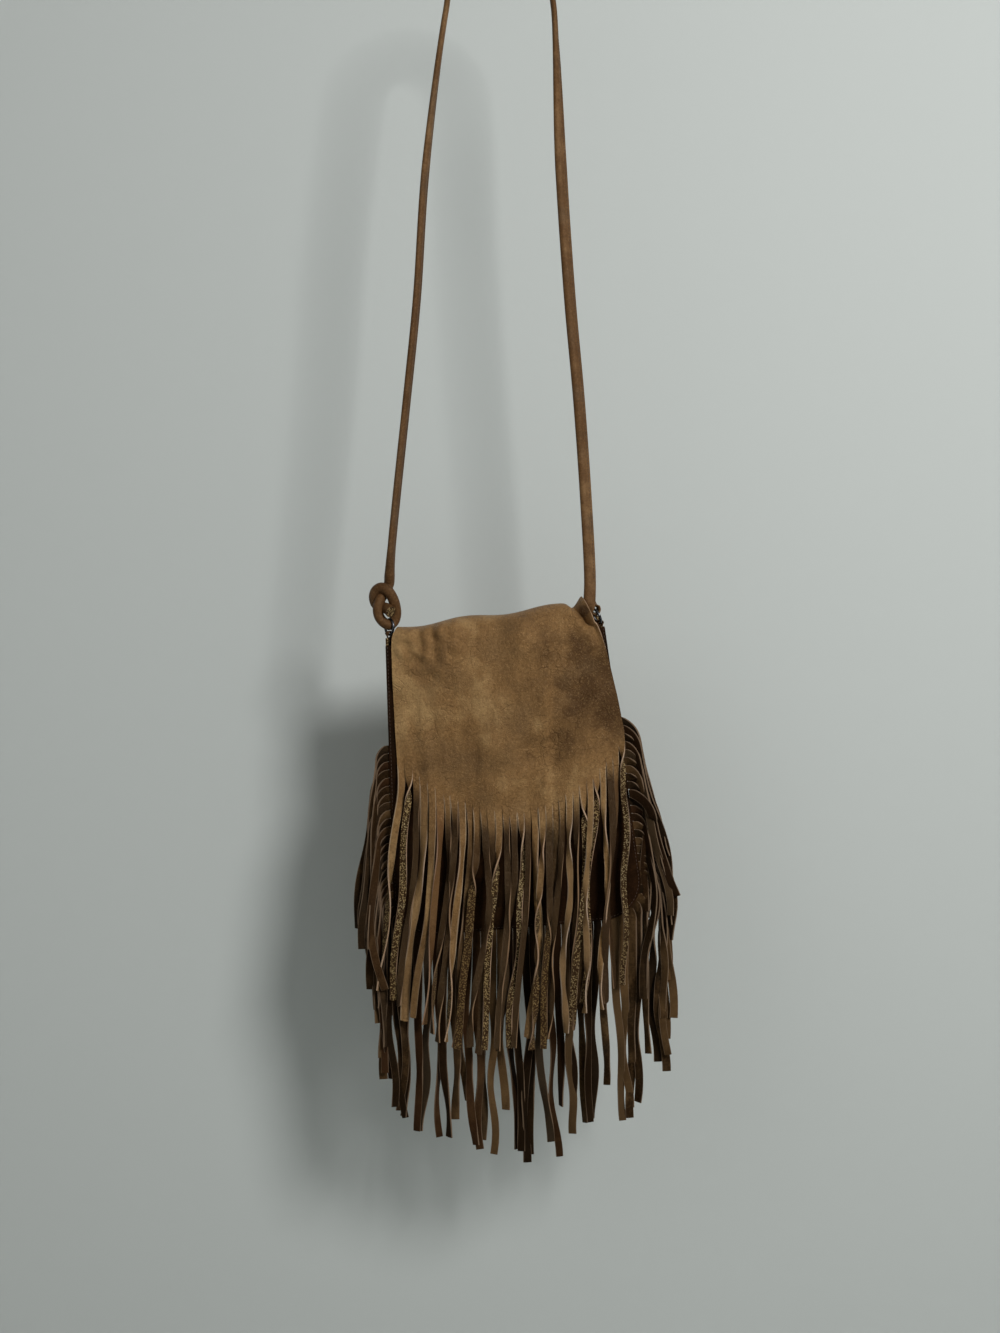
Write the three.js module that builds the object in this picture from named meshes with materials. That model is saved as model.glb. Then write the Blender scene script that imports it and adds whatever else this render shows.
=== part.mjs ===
import * as THREE from "three";

// A fringed leather shoulder bag, hanging by its strap. Millimetres, +Z up, the front faces -Y.
// The origin is under the crest of the strap, where a peg or a shoulder carries it.

// Leather, seams and clearances
const hide = 1.4; // thickness of the hide that makes the back, the flap and its fringe
const fringeHide = 1.1; // thickness of the pouch's fringe
const gap = 0.4; // between pieces that touch
const seam = 4; // seam allowance, turned outward

// Pouch
const mouthWidth = 217;
const bottomWidth = 250;
const pouchHeight = 297;
const cornerRadius = 42;
const pouchDepth = 26;
const frontSwell = 7; // how far the slack front swells
const backSwell = 3;
const mouthDip = 8; // the front panel's top edge lies this far under the mouth's corners
const lean = THREE.MathUtils.degToRad(5); // the bag hangs with its right end higher
const mouthX = -5.5; // middle of the mouth
const mouthDrop = 669; // below the strap's crest
const rightEndDrop = 7; // the gusset's right end lies this far under the mouth, its left end at it

// Flap
const flapSideDrop = 112; // from the mouth to the ends of the slits at the flap's sides
const flapMiddleDrop = 174; // and at its middle
const foldRise = 14; // the fold's crest above the mouth, at its middle
const foldTilt = 4.5; // how much higher its right end is than its middle
const foldRipple = 2;
const rippleLength = 0.95; // as a share of half the crest
const crestTrimLeft = 12.5; // the hide is trimmed this much inside the mouth's ends where it folds over
const crestTrimRight = 22.5;
const flapTopTrimLeft = 6.5; // and this much where the flap starts
const flapTopTrimRight = 9.5;
const flapTrimLeft = 1.5; // and at the slits
const flapFlareRight = 10.5; // where its right side flares past the mouth's end
const flapSpread = 0.6; // below 1, the flap widens most near its top
const flapClearance = 1.2; // between the flap and the front panel

// Fringes
const stripShare = 0.9; // a strip's width as a share of the distance between two slits
const flapStrips = 32;
const flapStripLength = 240;
const flapLayer = 3.4; // depth from one layer of hanging strips to the next
const flapForward = 5; // the flap's strips hang this far in front of their roots
const flapBend = 40; // length over which they turn from the flap's lean to plumb
const leftDrift = -0.11; // their direction from plumb, in radians, at the left
const rightDrift = -0.035;
const pouchStripPitch = 8;
const pouchStripLength = 246; // at the middle of the bottom
const shortestStrip = 172; // at the upper ends of the pouch's fringe
const leftFringeStart = 106; // below the mouth
const rightFringeStart = 98;
const pouchLayer = 3.6;
const leafPitch = 1.4; // the strips of the sides lie on each other like leaves
const sideBend = 24; // length over which a strip of the side turns down
const settling = 15; // and over which it then comes to hang plumb
const pouchDrift = 0.045; // radians from plumb, at the left end of the pouch's fringe

// How unlike the strips are: the spread of each, in radians or as a share of the length
const wander = 0.05;
const wave = 0.1;
const flapTwist = 2.2;
const turnedTwist = 5.2; // for the strips that show their flesh side
const turnedShare = 0.25;
const pouchTwist = 1.2;
const flapLengthSpread = 0.06;
const pouchLengthSpread = 0.08;
const shortShare = 0.35; // of the bottom's strips are cut shorter
const shortCut = 0.14;
const strayShare = 0.12; // of the pouch's strips stray outward
const stray = 0.1;

// Rings and tabs
const ringRadius = 7.7; // to the middle of the wire
const wireRadius = 1.3;
const tabWidth = 6.4;
const tabLeg = 15; // from the mouth down to the tab's end

// Strap
const strapWidth = 12;
const strapThickness = 6;
const knotWidth = 7.8;
const knotThickness = 7.2;
const crestRadius = 54;
const sewnEndWidth = 7.4;
const sewnEndThickness = 3;
const sewnEndLength = 24; // the part folded back behind the strap

const suede = { color: 0x8d6f4a, roughness: 0.85, metalness: 0 };
const darkSuede = { color: 0x5f4731, roughness: 0.9, metalness: 0 };
const strapLeather = { color: 0x8a6c50, roughness: 0.6, metalness: 0 };
const gunmetal = { color: 0x2f3134, roughness: 0.35, metalness: 0.9 };

const { lerp, smoothstep, clamp } = THREE.MathUtils;
const backwards = new THREE.Vector3(0, 1, 0);

// A point of the bag: across from the middle of the mouth, y, and down along the leaning bag.
function place(across, y, down) {
  return new THREE.Vector3(
    mouthX + across * Math.cos(lean) + down * Math.sin(lean),
    y,
    -mouthDrop + across * Math.sin(lean) - down * Math.cos(lean),
  );
}

// A repeatable number from 0 to 1 for strip i; kind keeps unlike uses apart.
function vary(i, kind) {
  const wild = Math.sin(i * 12.9898 + kind * 78.233) * 43758.5453;
  return wild - Math.floor(wild);
}

// Collects the corners and faces of one closed body. Faces run anticlockwise seen from outside.
class Body {
  constructor() {
    this.corners = [];
    this.faces = [];
  }

  corner(point) {
    this.corners.push(point.x, point.y, point.z);
    return this.corners.length / 3 - 1;
  }

  quad(a, b, c, d) {
    this.faces.push(a, b, c, a, c, d);
  }

  // Joins two rings of corners by a band of quads.
  band(from, to) {
    from.forEach((a, k) => {
      const next = (k + 1) % from.length;
      this.quad(a, to[k], to[next], from[next]);
    });
  }

  // Closes a ring of corners; it faces the way the ring turns.
  cap(ring) {
    for (let k = 1; k < ring.length - 1; k++) this.faces.push(ring[0], ring[k], ring[k + 1]);
  }

  mesh(name, finish) {
    const geometry = new THREE.BufferGeometry();
    geometry.setAttribute("position", new THREE.Float32BufferAttribute(this.corners, 3));
    geometry.setIndex(this.faces);
    geometry.computeVertexNormals();
    const mesh = new THREE.Mesh(geometry, new THREE.MeshStandardMaterial(finish));
    mesh.name = name;
    return mesh;
  }
}

// A closed body swept through rings of points, with both ends capped.
function swept(name, rings, finish) {
  const body = new Body();
  const corners = rings.map((ring) => ring.map((point) => body.corner(point)));
  for (let k = 0; k < corners.length - 1; k++) body.band(corners[k], corners[k + 1]);
  body.cap(corners[0]);
  body.cap([...corners.at(-1)].reverse());
  return body.mesh(name, finish);
}

// The four corners of a flat strip's section, from its middle, its width's direction and its heading.
function stripRing(middle, heading, side, width, thickness) {
  const face = new THREE.Vector3().crossVectors(heading, side).setLength(thickness / 2);
  const half = side.clone().setLength(width / 2);
  return [
    middle.clone().sub(half).add(face),
    middle.clone().add(half).add(face),
    middle.clone().add(half).sub(face),
    middle.clone().sub(half).sub(face),
  ];
}

// A sheet through a grid of points, grain side out. Where strips are given, one hangs from each
// stretch of its last row: a list of rings for each.
function sheet(name, grid, strips, thickness, finish) {
  const body = new Body();
  const rows = grid.length;
  const columns = grid[0].length;
  const offset = new THREE.Vector3();
  const outer = [];
  const inner = [];
  grid.forEach((row, r) => {
    outer.push([]);
    inner.push([]);
    row.forEach((point, c) => {
      const along = new THREE.Vector3()
        .subVectors(grid[Math.min(r + 1, rows - 1)][c], grid[Math.max(r - 1, 0)][c]);
      const across = new THREE.Vector3()
        .subVectors(row[Math.min(c + 1, columns - 1)], row[Math.max(c - 1, 0)]);
      offset.crossVectors(along, across).setLength(thickness / 2);
      outer[r].push(body.corner(point.clone().add(offset)));
      inner[r].push(body.corner(point.clone().sub(offset)));
    });
  });
  for (let r = 0; r < rows - 1; r++) {
    for (let c = 0; c < columns - 1; c++) {
      body.quad(outer[r][c], outer[r + 1][c], outer[r + 1][c + 1], outer[r][c + 1]);
      body.quad(inner[r][c], inner[r][c + 1], inner[r + 1][c + 1], inner[r + 1][c]);
    }
    const last = columns - 1;
    body.quad(outer[r][0], inner[r][0], inner[r + 1][0], outer[r + 1][0]);
    body.quad(outer[r][last], outer[r + 1][last], inner[r + 1][last], inner[r][last]);
  }
  const end = rows - 1;
  for (let c = 0; c < columns - 1; c++) {
    body.quad(outer[0][c], outer[0][c + 1], inner[0][c + 1], inner[0][c]);
    let ring = [outer[end][c], outer[end][c + 1], inner[end][c + 1], inner[end][c]];
    for (const points of strips ? strips[c] : []) {
      const next = points.map((point) => body.corner(point));
      body.band(ring, next);
      ring = next;
    }
    body.cap([...ring].reverse());
  }
  return body.mesh(name, finish);
}

// Half the pouch's width at a depth under the mouth, to the outer edge of the seam.
function halfWidth(down) {
  const straight = lerp(mouthWidth, bottomWidth, down / pouchHeight) / 2;
  const intoCorner = (down - pouchHeight + cornerRadius) / cornerRadius;
  if (intoCorner <= 0) return straight;
  return straight - cornerRadius * (1 - Math.sqrt(Math.max(0, 1 - intoCorner ** 2)));
}

// Depths under the mouth for the rows of a panel, close together round the bottom corners.
function panelDepths(top, straightRows, cornerRows) {
  const straight = pouchHeight - cornerRadius;
  const depths = [];
  for (let k = 0; k < straightRows; k++) depths.push(lerp(top, straight, k / straightRows));
  for (let k = 0; k <= cornerRows; k++) {
    depths.push(straight + cornerRadius * Math.sin((k / cornerRows) * (Math.PI / 2)));
  }
  return depths;
}

// How full the slack pouch is at a place of a panel, from 0 at the seam to 1.
function fullness(share, down) {
  const level = clamp(down / pouchHeight, 0, 1);
  return (1 - share ** 2) * (0.35 + 0.65 * Math.sin(Math.PI * Math.sqrt(level))) * (1 - level ** 6);
}

const bandY = -(pouchDepth / 2 + gap + fringeHide / 2); // between the gusset and the front
const frontY = bandY - fringeHide / 2 - gap - hide / 2;
const backY = pouchDepth / 2 + gap + hide / 2;
const flapY = frontY - hide - flapClearance;
const mouthEnd = mouthWidth / 2;
const flapTopLeft = mouthEnd - flapTopTrimLeft; // reach of the flap's sides from the mouth's middle
const flapTopRight = mouthEnd - flapTopTrimRight;
const flapLeft = mouthEnd - flapTrimLeft;
const flapRight = mouthEnd + flapFlareRight;

function frontSurface(share, down) {
  return frontY - frontSwell * fullness(share, down);
}

function frontPanel() {
  const columns = 12;
  const depths = panelDepths(mouthDip, 6, 4);
  const grid = depths.map((down) =>
    Array.from({ length: columns + 1 }, (_, c) => {
      const share = (2 * c) / columns - 1;
      return place(share * halfWidth(down), frontSurface(share, down), down);
    }),
  );
  return sheet("front_panel", grid, null, hide, suede);
}

// Where the slits of the flap end, as a depth under the mouth.
function slitDepth(share) {
  return lerp(flapMiddleDrop, flapSideDrop, share ** 2);
}

// The crest of the fold over the mouth.
function foldHeight(share) {
  const ripple = Math.sin(((share + 0.5) / rippleLength) * 2 * Math.PI);
  return foldRise + foldTilt * share + foldRipple * ripple;
}

// The hide's rows go up the back, over the mouth and down the front to the slits.
function backAndFlap() {
  const shares = Array.from({ length: flapStrips + 1 }, (_, c) => (2 * c) / flapStrips - 1);
  const back = panelDepths(0, 4, 3).reverse();
  const grid = back.map((down) =>
    shares.map((share) =>
      place(share * halfWidth(down), backY + backSwell * fullness(share, down), down),
    ),
  );
  const foldRows = 4;
  for (let k = 1; k <= foldRows; k++) {
    const turn = (k / (foldRows + 1)) * Math.PI;
    const trim = Math.sin(turn);
    const over = (1 - Math.cos(turn)) / 2;
    const left = lerp(lerp(mouthEnd, flapTopLeft, over), mouthEnd - crestTrimLeft, trim);
    const right = lerp(lerp(mouthEnd, flapTopRight, over), mouthEnd - crestTrimRight, trim);
    grid.push(
      shares.map((share) => {
        const y = lerp(backY, flapSurface(share, 0), over);
        return place(lerp(-left, right, (share + 1) / 2), y, -foldHeight(share) * trim);
      }),
    );
  }
  const frontRows = 6;
  for (let k = 0; k <= frontRows; k++) {
    const low = k / frontRows;
    const left = lerp(flapTopLeft, flapLeft, low ** flapSpread);
    const right = lerp(flapTopRight, flapRight, low ** flapSpread);
    grid.push(
      shares.map((share) => {
        const down = lerp(mouthDip / 4, slitDepth(share), low);
        return place(lerp(-left, right, (share + 1) / 2), flapSurface(share, down), down);
      }),
    );
  }
  const strips = Array.from({ length: flapStrips }, (_, i) => {
    const root = grid.at(-1)[i].clone().add(grid.at(-1)[i + 1]).divideScalar(2);
    return flapStrip(i, root);
  });
  return sheet("back_and_flap", grid, strips, hide, suede);
}

function flapSurface(share, down) {
  return flapY - frontSwell * fullness(share, down);
}

// Rings of a hanging strip at its stops, which are distances along it. direction(s) is its angle from
// plumb, turn(s) its twist and depth(s) its way forward or back.
function hangingStrip({ root, stops, direction, width, thickness, turn, depth }) {
  const rings = [];
  const point = root.clone();
  const fine = 4;
  let reached = 0;
  for (const stop of stops) {
    const step = (stop - reached) / fine;
    let now = 0;
    for (let f = 0; f < fine; f++) {
      now = direction(reached + (f + 0.5) * step);
      point.x += Math.sin(now) * step;
      point.z -= Math.cos(now) * step;
    }
    reached = stop;
    const heading = new THREE.Vector3(Math.sin(now), 0, -Math.cos(now));
    const flat = new THREE.Vector3(Math.cos(now), 0, Math.sin(now));
    const twist = turn(stop);
    const side = flat.multiplyScalar(Math.cos(twist)).addScaledVector(backwards, -Math.sin(twist));
    const middle = point.clone().addScaledVector(backwards, depth(stop));
    rings.push(stripRing(middle, heading, side, width, thickness));
  }
  return rings;
}

// The flap's strips hang in three layers; most stay flat, some turn their flesh side out.
function flapStrip(i, root) {
  const length = flapStripLength * (1 + flapLengthSpread * (vary(i, 5) - 0.5));
  const across = i / (flapStrips - 1);
  const drift = lerp(leftDrift, rightDrift, across) + wander * (vary(i, 1) - 0.5);
  const swing = wave * (vary(i, 2) - 0.5);
  const twistEnd = (vary(i, 3) < turnedShare ? turnedTwist : flapTwist) * (vary(i, 4) - 0.5);
  const steps = 6;
  return hangingStrip({
    root,
    stops: Array.from({ length: steps }, (_, k) => length * ((k + 1) / steps) ** 1.3),
    direction: (s) =>
      lean * (1 - smoothstep(s, 0, flapBend)) +
      drift * smoothstep(s, 0, length / 2) +
      swing * Math.sin((s / length) * 2 * Math.PI),
    width: ((flapLeft + flapRight) / flapStrips) * stripShare,
    thickness: hide,
    turn: (s) => twistEnd * smoothstep(s, length / 20, length),
    depth: (s) => -(flapForward + flapLayer * (i % 3)) * smoothstep(s, 0, 0.3 * length),
  });
}

// Points of the seam's outer edge from the left side at a depth, round the bottom, to the right.
function seamPoints(leftTop, rightTop, spacing) {
  const side = (top) =>
    panelDepths(top, 8, 8).map((down) => new THREE.Vector2(halfWidth(down), -down));
  const left = side(leftTop).map((point) => new THREE.Vector2(-point.x, point.y));
  const path = new THREE.Path([...left, ...side(rightTop).reverse()]);
  const count = Math.round(path.getLength() / spacing);
  return path.getSpacedPoints(count);
}

// The way out of the pouch at each point of the seam.
function waysOut(points) {
  return points.map((_, k) => {
    const before = points[Math.max(k - 1, 0)];
    const after = points[Math.min(k + 1, points.length - 1)];
    const along = after.clone().sub(before).normalize();
    return new THREE.Vector2(along.y, -along.x);
  });
}

function gusset() {
  const points = seamPoints(0, rightEndDrop, 22);
  const ways = waysOut(points);
  const half = pouchDepth / 2;
  const section = [
    [-seam, -half],
    [0, -half],
    [0, -half + hide],
    [-seam + hide, -half + hide],
    [-seam + hide, half - hide],
    [0, half - hide],
    [0, half],
    [-seam, half],
  ];
  const rings = points.map((point, k) =>
    section.map(([out, y]) => {
      const spot = point.clone().addScaledVector(ways[k], out);
      return place(spot.x, y, -spot.y);
    }),
  );
  return swept("gusset", rings.reverse(), darkSuede);
}

function pouchFringe() {
  const points = seamPoints(leftFringeStart, rightFringeStart, pouchStripPitch);
  const ways = waysOut(points);
  const edge = points.map((point) => place(point.x, bandY, -point.y));
  const fold = points.map((point, k) => {
    const spot = point.clone().addScaledVector(ways[k], -seam);
    return place(spot.x, bandY, -spot.y);
  });
  const count = points.length - 1;
  const strips = Array.from({ length: count }, (_, i) => {
    const root = edge[i].clone().add(edge[i + 1]).divideScalar(2);
    const along = edge[i + 1].clone().sub(edge[i]);
    return pouchStrip(i, count, root, Math.atan2(along.z, along.x));
  });
  return sheet("pouch_fringe", [fold, edge], strips, fringeHide, darkSuede);
}

// The strips of the sides turn edge-on as they bend down. They lie on each other like leaves, the
// highest outermost, and slant out over those below. Those of the bottom hang flat in three layers.
function pouchStrip(i, count, root, angle) {
  const fromEnd = Math.min(i, count - 1 - i);
  const side = Math.sign(angle);
  const start = side < 0 ? leftFringeStart : rightFringeStart;
  const sideStrips = (pouchHeight - cornerRadius - start) / pouchStripPitch;
  const below = Math.max(0, sideStrips - fromEnd);
  const sideways = Math.min(1, Math.abs(angle) / (Math.PI / 2));
  const edgeOn = side * (Math.PI / 2) * sideways;
  const leaf = side * Math.asin(leafPitch / pouchStripPitch);
  const slant = (angle - side * (Math.PI / 2) + leaf) * Math.min(1, below / 3);
  const slantEnd = sideBend + below * pouchStripPitch;
  const short = vary(i, 10) < shortShare * (1 - sideways) ? 1 - shortCut : 1;
  const full = lerp(shortestStrip, pouchStripLength, fromEnd / (count / 2));
  const length = full * short * (1 - pouchLengthSpread * vary(i, 9));
  const astray = vary(i, 11) < strayShare ? side * stray : 0;
  const drift = pouchDrift * (1 - i / count) + wander * (vary(i, 6) - 0.5) + astray;
  const swing = wave * (vary(i, 7) - 0.5) * (1 - sideways);
  const loose = pouchTwist * (vary(i, 8) - 0.5) * (1 - 0.6 * sideways);
  const layer = pouchLayer * ((i % 3) - 1) * (1 - sideways);
  const hang = Math.max(slantEnd, 2.5 * sideBend);
  return hangingStrip({
    root,
    stops: [sideBend / 3, (2 * sideBend) / 3, 1.1 * sideBend, hang, lerp(hang, length, 0.5), length],
    direction: (s) => {
      const bent = smoothstep(s, 0, sideBend);
      const settled = smoothstep(s, slantEnd - settling, slantEnd + settling);
      const sway = drift * smoothstep(s, 0.2 * length, 0.7 * length);
      const waving = swing * Math.sin((s / length) * 2 * Math.PI);
      return angle * (1 - bent) + slant * bent * (1 - settled) + sway + waving;
    },
    width: pouchStripPitch * stripShare,
    thickness: fringeHide,
    turn: (s) => edgeOn * smoothstep(s, 0, sideBend) + loose * smoothstep(s, sideBend, length),
    depth: (s) => layer * smoothstep(s, 0, 0.3 * length),
  });
}

// The gusset's top ends, where the tabs straddle it: the middle of its leather and its slope.
const webAcross = mouthWidth / 2 - seam + hide / 2;
const webSlope = Math.atan2((bottomWidth - mouthWidth) / 2, pouchHeight);

// How each ring sits: side is -1 at the left and 1 at the right, drop is how far the gusset's end is
// under the mouth, lift is the height of the ring's lowest wire over that end, turn is how far it
// faces away from the bag's side, and pull how far the strap draws it over. Angles are in degrees.
const leftSeat = { side: -1, drop: 0, lift: 3.6, turn: -35, pull: 0 };
const rightSeat = { side: 1, drop: rightEndDrop, lift: 3.4, turn: 20, pull: -25 };

// A ring's lowest wire, the way from there to its top, the way its lowest and top wire run, and the
// level way through the ring.
function ringFrame({ side, drop, lift, turn, pull }) {
  const face = THREE.MathUtils.degToRad(turn);
  const over = THREE.MathUtils.degToRad(pull);
  const wire = new THREE.Vector3(-side * Math.sin(face), Math.cos(face), 0);
  const through = new THREE.Vector3(side * Math.cos(face), Math.sin(face), 0);
  const upward = through.clone().multiplyScalar(Math.sin(over)).setZ(Math.cos(over));
  return { foot: place(side * webAcross, 0, drop - lift), upward, wire, through };
}

function ring(name, seat) {
  const { foot, upward, wire } = ringFrame(seat);
  const axis = new THREE.Vector3().crossVectors(wire, upward);
  const geometry = new THREE.TorusGeometry(ringRadius, wireRadius, 8, 24);
  const mesh = new THREE.Mesh(geometry, new THREE.MeshStandardMaterial(gunmetal));
  mesh.name = name;
  mesh.position.copy(foot).addScaledVector(upward, ringRadius);
  mesh.quaternion.setFromRotationMatrix(new THREE.Matrix4().makeBasis(wire, upward, axis));
  return mesh;
}

// The radius to the middle of a strip that folds round the ring's wire and clears its curve.
function foldRadius(width, thickness) {
  const wireRise = ringRadius - Math.sqrt(ringRadius ** 2 - (width / 2) ** 2);
  return wireRadius + wireRise + gap + thickness / 2;
}

// A loop of leather over the ring's lowest wire, with one leg outside the gusset and one inside.
function tab(name, seat) {
  const { foot, wire, through } = ringFrame(seat);
  const legSteps = 3;
  const foldSteps = 6;
  const fold = foldRadius(tabWidth, hide) / Math.cos(Math.PI / 2 / foldSteps);
  const route = [];
  const leg = (k, out) => {
    const down = seat.drop + (k / legSteps) * tabLeg;
    const across = webAcross + Math.tan(webSlope) * down + out * (hide + gap);
    route.push({ point: place(seat.side * across, 0, down), wide: backwards });
  };
  for (let k = legSteps; k >= 0; k--) leg(k, 1);
  for (let k = 0; k <= foldSteps; k++) {
    const around = (k / foldSteps) * Math.PI;
    const point = foot.clone().addScaledVector(through, fold * Math.cos(around));
    point.z += fold * Math.sin(around);
    route.push({ point, wide: wire });
  }
  for (let k = 0; k <= legSteps; k++) leg(k, -1);
  const rings = route.map(({ point, wide }, k) => {
    const before = route[Math.max(k - 1, 0)].point;
    const after = route[Math.min(k + 1, route.length - 1)].point;
    const heading = after.clone().sub(before).normalize();
    return stripRing(point, heading, wide, tabWidth, hide);
  });
  return swept(name, rings, darkSuede);
}

// The knot's route in the left ring's frame, from the cut end to where the strap leaves it upward:
// sideways, back and up from the ring's middle.
const knotRoute = [
  [2.6, -8, 16],
  [0.1, -2, 16.5],
  [-4.4, 4, 16.5],
  [-10.2, 7, 18],
  [-14.8, 6, 23],
  [-16.2, 3, 30.5],
  [-13.9, 0, 36.6],
  [-8.2, -3, 39.6],
  [-2, -4.5, 37.9],
  [3.2, -3.5, 31.5],
  [6.6, -1.5, 23],
  [7.2, 1.5, 13],
  [4.6, 2.5, 5.6],
  [0, 0, 2],
  [-5.8, -2.2, 4.4],
  [-10.6, -3, 10.5],
  [-12, -3.5, 18.3],
  [-9.9, -1.5, 27],
  [-5.2, 3, 34.8],
  [-0.9, 5, 43],
  [0.1, 2, 52],
];

// The runs between the knot and the crest: how far out from the crest's middle, and how far down.
const leftRun = [
  [108, 586],
  [103, 535],
  [93, 440],
  [83, 340],
  [74, 207],
];
const rightRun = [
  [61, 207],
  [70, 340],
  [79, 440],
  [86, 540],
  [90, 620],
];

// The strap's stations from the cut end in the knot, up the left, over the crest and down the right
// to the sewn end. Each has its point and section; facing turns the section's width.
function strapStations() {
  const stations = [];
  const knotMiddle = ringFrame(leftSeat).foot.add(new THREE.Vector3(0, 0, ringRadius));
  knotRoute.forEach(([x, y, z]) => {
    const point = knotMiddle.clone().add(new THREE.Vector3(x, y, z));
    stations.push({ point, width: knotWidth, thickness: knotThickness });
  });
  const edgeOn = new THREE.Vector3(0.5, 0.86, 0);
  const faceOn = new THREE.Vector3(1, 0.15, 0);
  const full = { width: strapWidth, thickness: strapThickness };
  leftRun.forEach(([out, down]) => {
    stations.push({ point: new THREE.Vector3(-out, 0, -down), facing: edgeOn, ...full });
  });
  const crestSteps = 8;
  const middle = strapThickness / 2;
  for (let k = 0; k <= crestSteps; k++) {
    const around = Math.PI - (k / crestSteps) * Math.PI;
    const out = crestRadius * Math.cos(around);
    const up = middle - crestRadius + crestRadius * Math.sin(around);
    stations.push({ point: new THREE.Vector3(out, 0, up), facing: backwards, ...full });
  }
  rightRun.forEach(([out, down]) => {
    stations.push({ point: new THREE.Vector3(out, 0, -down), facing: faceOn, ...full });
  });
  const { foot, upward, wire } = ringFrame(rightSeat);
  const wireTop = foot.clone().addScaledVector(upward, 2 * ringRadius);
  const out = new THREE.Vector3().crossVectors(wire, upward).normalize();
  const loop = foldRadius(sewnEndWidth, sewnEndThickness);
  const thin = { width: sewnEndWidth, thickness: sewnEndThickness };
  const overWire = (sideways, rise) => {
    const point = wireTop.clone().addScaledVector(out, sideways).addScaledVector(upward, rise);
    stations.push({ point, facing: wire, ...thin });
  };
  const loopSteps = 6;
  overWire(-loop, 9);
  for (let k = 0; k <= loopSteps; k++) {
    const around = Math.PI + (k / loopSteps) * Math.PI;
    overWire(loop * Math.cos(around), loop * Math.sin(around));
  }
  overWire(loop, 9);
  const behind = strapThickness / 2 + 2 * gap + sewnEndThickness / 2;
  const endPoint = new THREE.Vector3(rightRun.at(-1)[0], behind, wireTop.z + sewnEndLength);
  stations.push({ point: endPoint, facing: faceOn, ...thin });
  return stations;
}

// A rounded section of eight corners, its width along wide.
function roundRing(middle, heading, wide, width, thickness) {
  const thick = new THREE.Vector3().crossVectors(heading, wide);
  const corners = 8;
  const fuller = 1.05; // keeps the area of the ellipse that the corners stand for
  return Array.from({ length: corners }, (_, k) => {
    const around = (-(k + 0.5) / corners) * 2 * Math.PI;
    return middle
      .clone()
      .addScaledVector(wide, (width / 2) * Math.cos(around) * fuller)
      .addScaledVector(thick, (thickness / 2) * Math.sin(around) * fuller);
  });
}

// Sweeps the strap's section along its stations. The section is carried along without twisting,
// and then turned evenly so that it faces as the stations ask.
function shoulderStrap() {
  const stations = strapStations();
  const curve = new THREE.CatmullRomCurve3(stations.map(({ point }) => point), false, "centripetal");
  const perStation = 2;
  const count = (stations.length - 1) * perStation;
  const points = Array.from({ length: count + 1 }, (_, k) => curve.getPoint(k / count));
  const headings = points.map((_, k) => curve.getTangent(k / count));
  let wide = new THREE.Vector3(0, 0, 1);
  const carried = headings.map((heading) => {
    wide = wide.clone().addScaledVector(heading, -wide.dot(heading)).normalize();
    return wide;
  });
  const turns = [];
  stations.forEach(({ facing }, n) => {
    if (!facing) return;
    const k = n * perStation;
    const thick = new THREE.Vector3().crossVectors(headings[k], carried[k]);
    const turn = Math.atan2(facing.dot(thick), facing.dot(carried[k]));
    const last = turns.length ? turns.at(-1).turn : 0;
    const halfTurns = Math.round((turn - last) / Math.PI);
    turns.push({ k, turn: turn - halfTurns * Math.PI });
  });
  const turnAt = (k) => {
    const after = turns.findIndex((mark) => mark.k >= k);
    if (after <= 0) return after < 0 ? turns.at(-1).turn : (turns[0].turn * k) / turns[0].k;
    const [a, b] = [turns[after - 1], turns[after]];
    return lerp(a.turn, b.turn, (k - a.k) / (b.k - a.k));
  };
  const rings = points.map((point, k) => {
    const from = stations[Math.floor(k / perStation)];
    const to = stations[Math.min(Math.floor(k / perStation) + 1, stations.length - 1)];
    const share = (k % perStation) / perStation;
    const side = carried[k].clone().applyAxisAngle(headings[k], turnAt(k));
    const width = lerp(from.width, to.width, share);
    return roundRing(point, headings[k], side, width, lerp(from.thickness, to.thickness, share));
  });
  return swept("shoulder_strap", rings, strapLeather);
}

const bag = new THREE.Group();
bag.add(
  backAndFlap(),
  frontPanel(),
  gusset(),
  pouchFringe(),
  ring("left_ring", leftSeat),
  ring("right_ring", rightSeat),
  tab("left_tab", leftSeat),
  tab("right_tab", rightSeat),
  shoulderStrap(),
);

export default bag;
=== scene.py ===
import bpy
import math
import numpy as np
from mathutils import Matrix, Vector


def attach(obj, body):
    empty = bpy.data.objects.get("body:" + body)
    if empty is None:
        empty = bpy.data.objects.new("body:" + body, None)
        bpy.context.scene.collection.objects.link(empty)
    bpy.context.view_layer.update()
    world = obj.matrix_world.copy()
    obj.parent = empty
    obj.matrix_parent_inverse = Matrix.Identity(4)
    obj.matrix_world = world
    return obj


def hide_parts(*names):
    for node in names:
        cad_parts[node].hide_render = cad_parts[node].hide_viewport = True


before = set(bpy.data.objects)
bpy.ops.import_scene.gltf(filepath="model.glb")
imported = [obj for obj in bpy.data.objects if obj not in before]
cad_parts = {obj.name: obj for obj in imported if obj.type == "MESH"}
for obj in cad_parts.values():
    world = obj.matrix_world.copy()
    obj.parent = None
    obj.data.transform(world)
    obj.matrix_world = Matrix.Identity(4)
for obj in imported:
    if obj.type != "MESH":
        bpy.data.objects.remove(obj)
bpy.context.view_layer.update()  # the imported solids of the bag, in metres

scene = bpy.context.scene
mm = 0.001  # the bag is worked out in millimetres and made in metres

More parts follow.
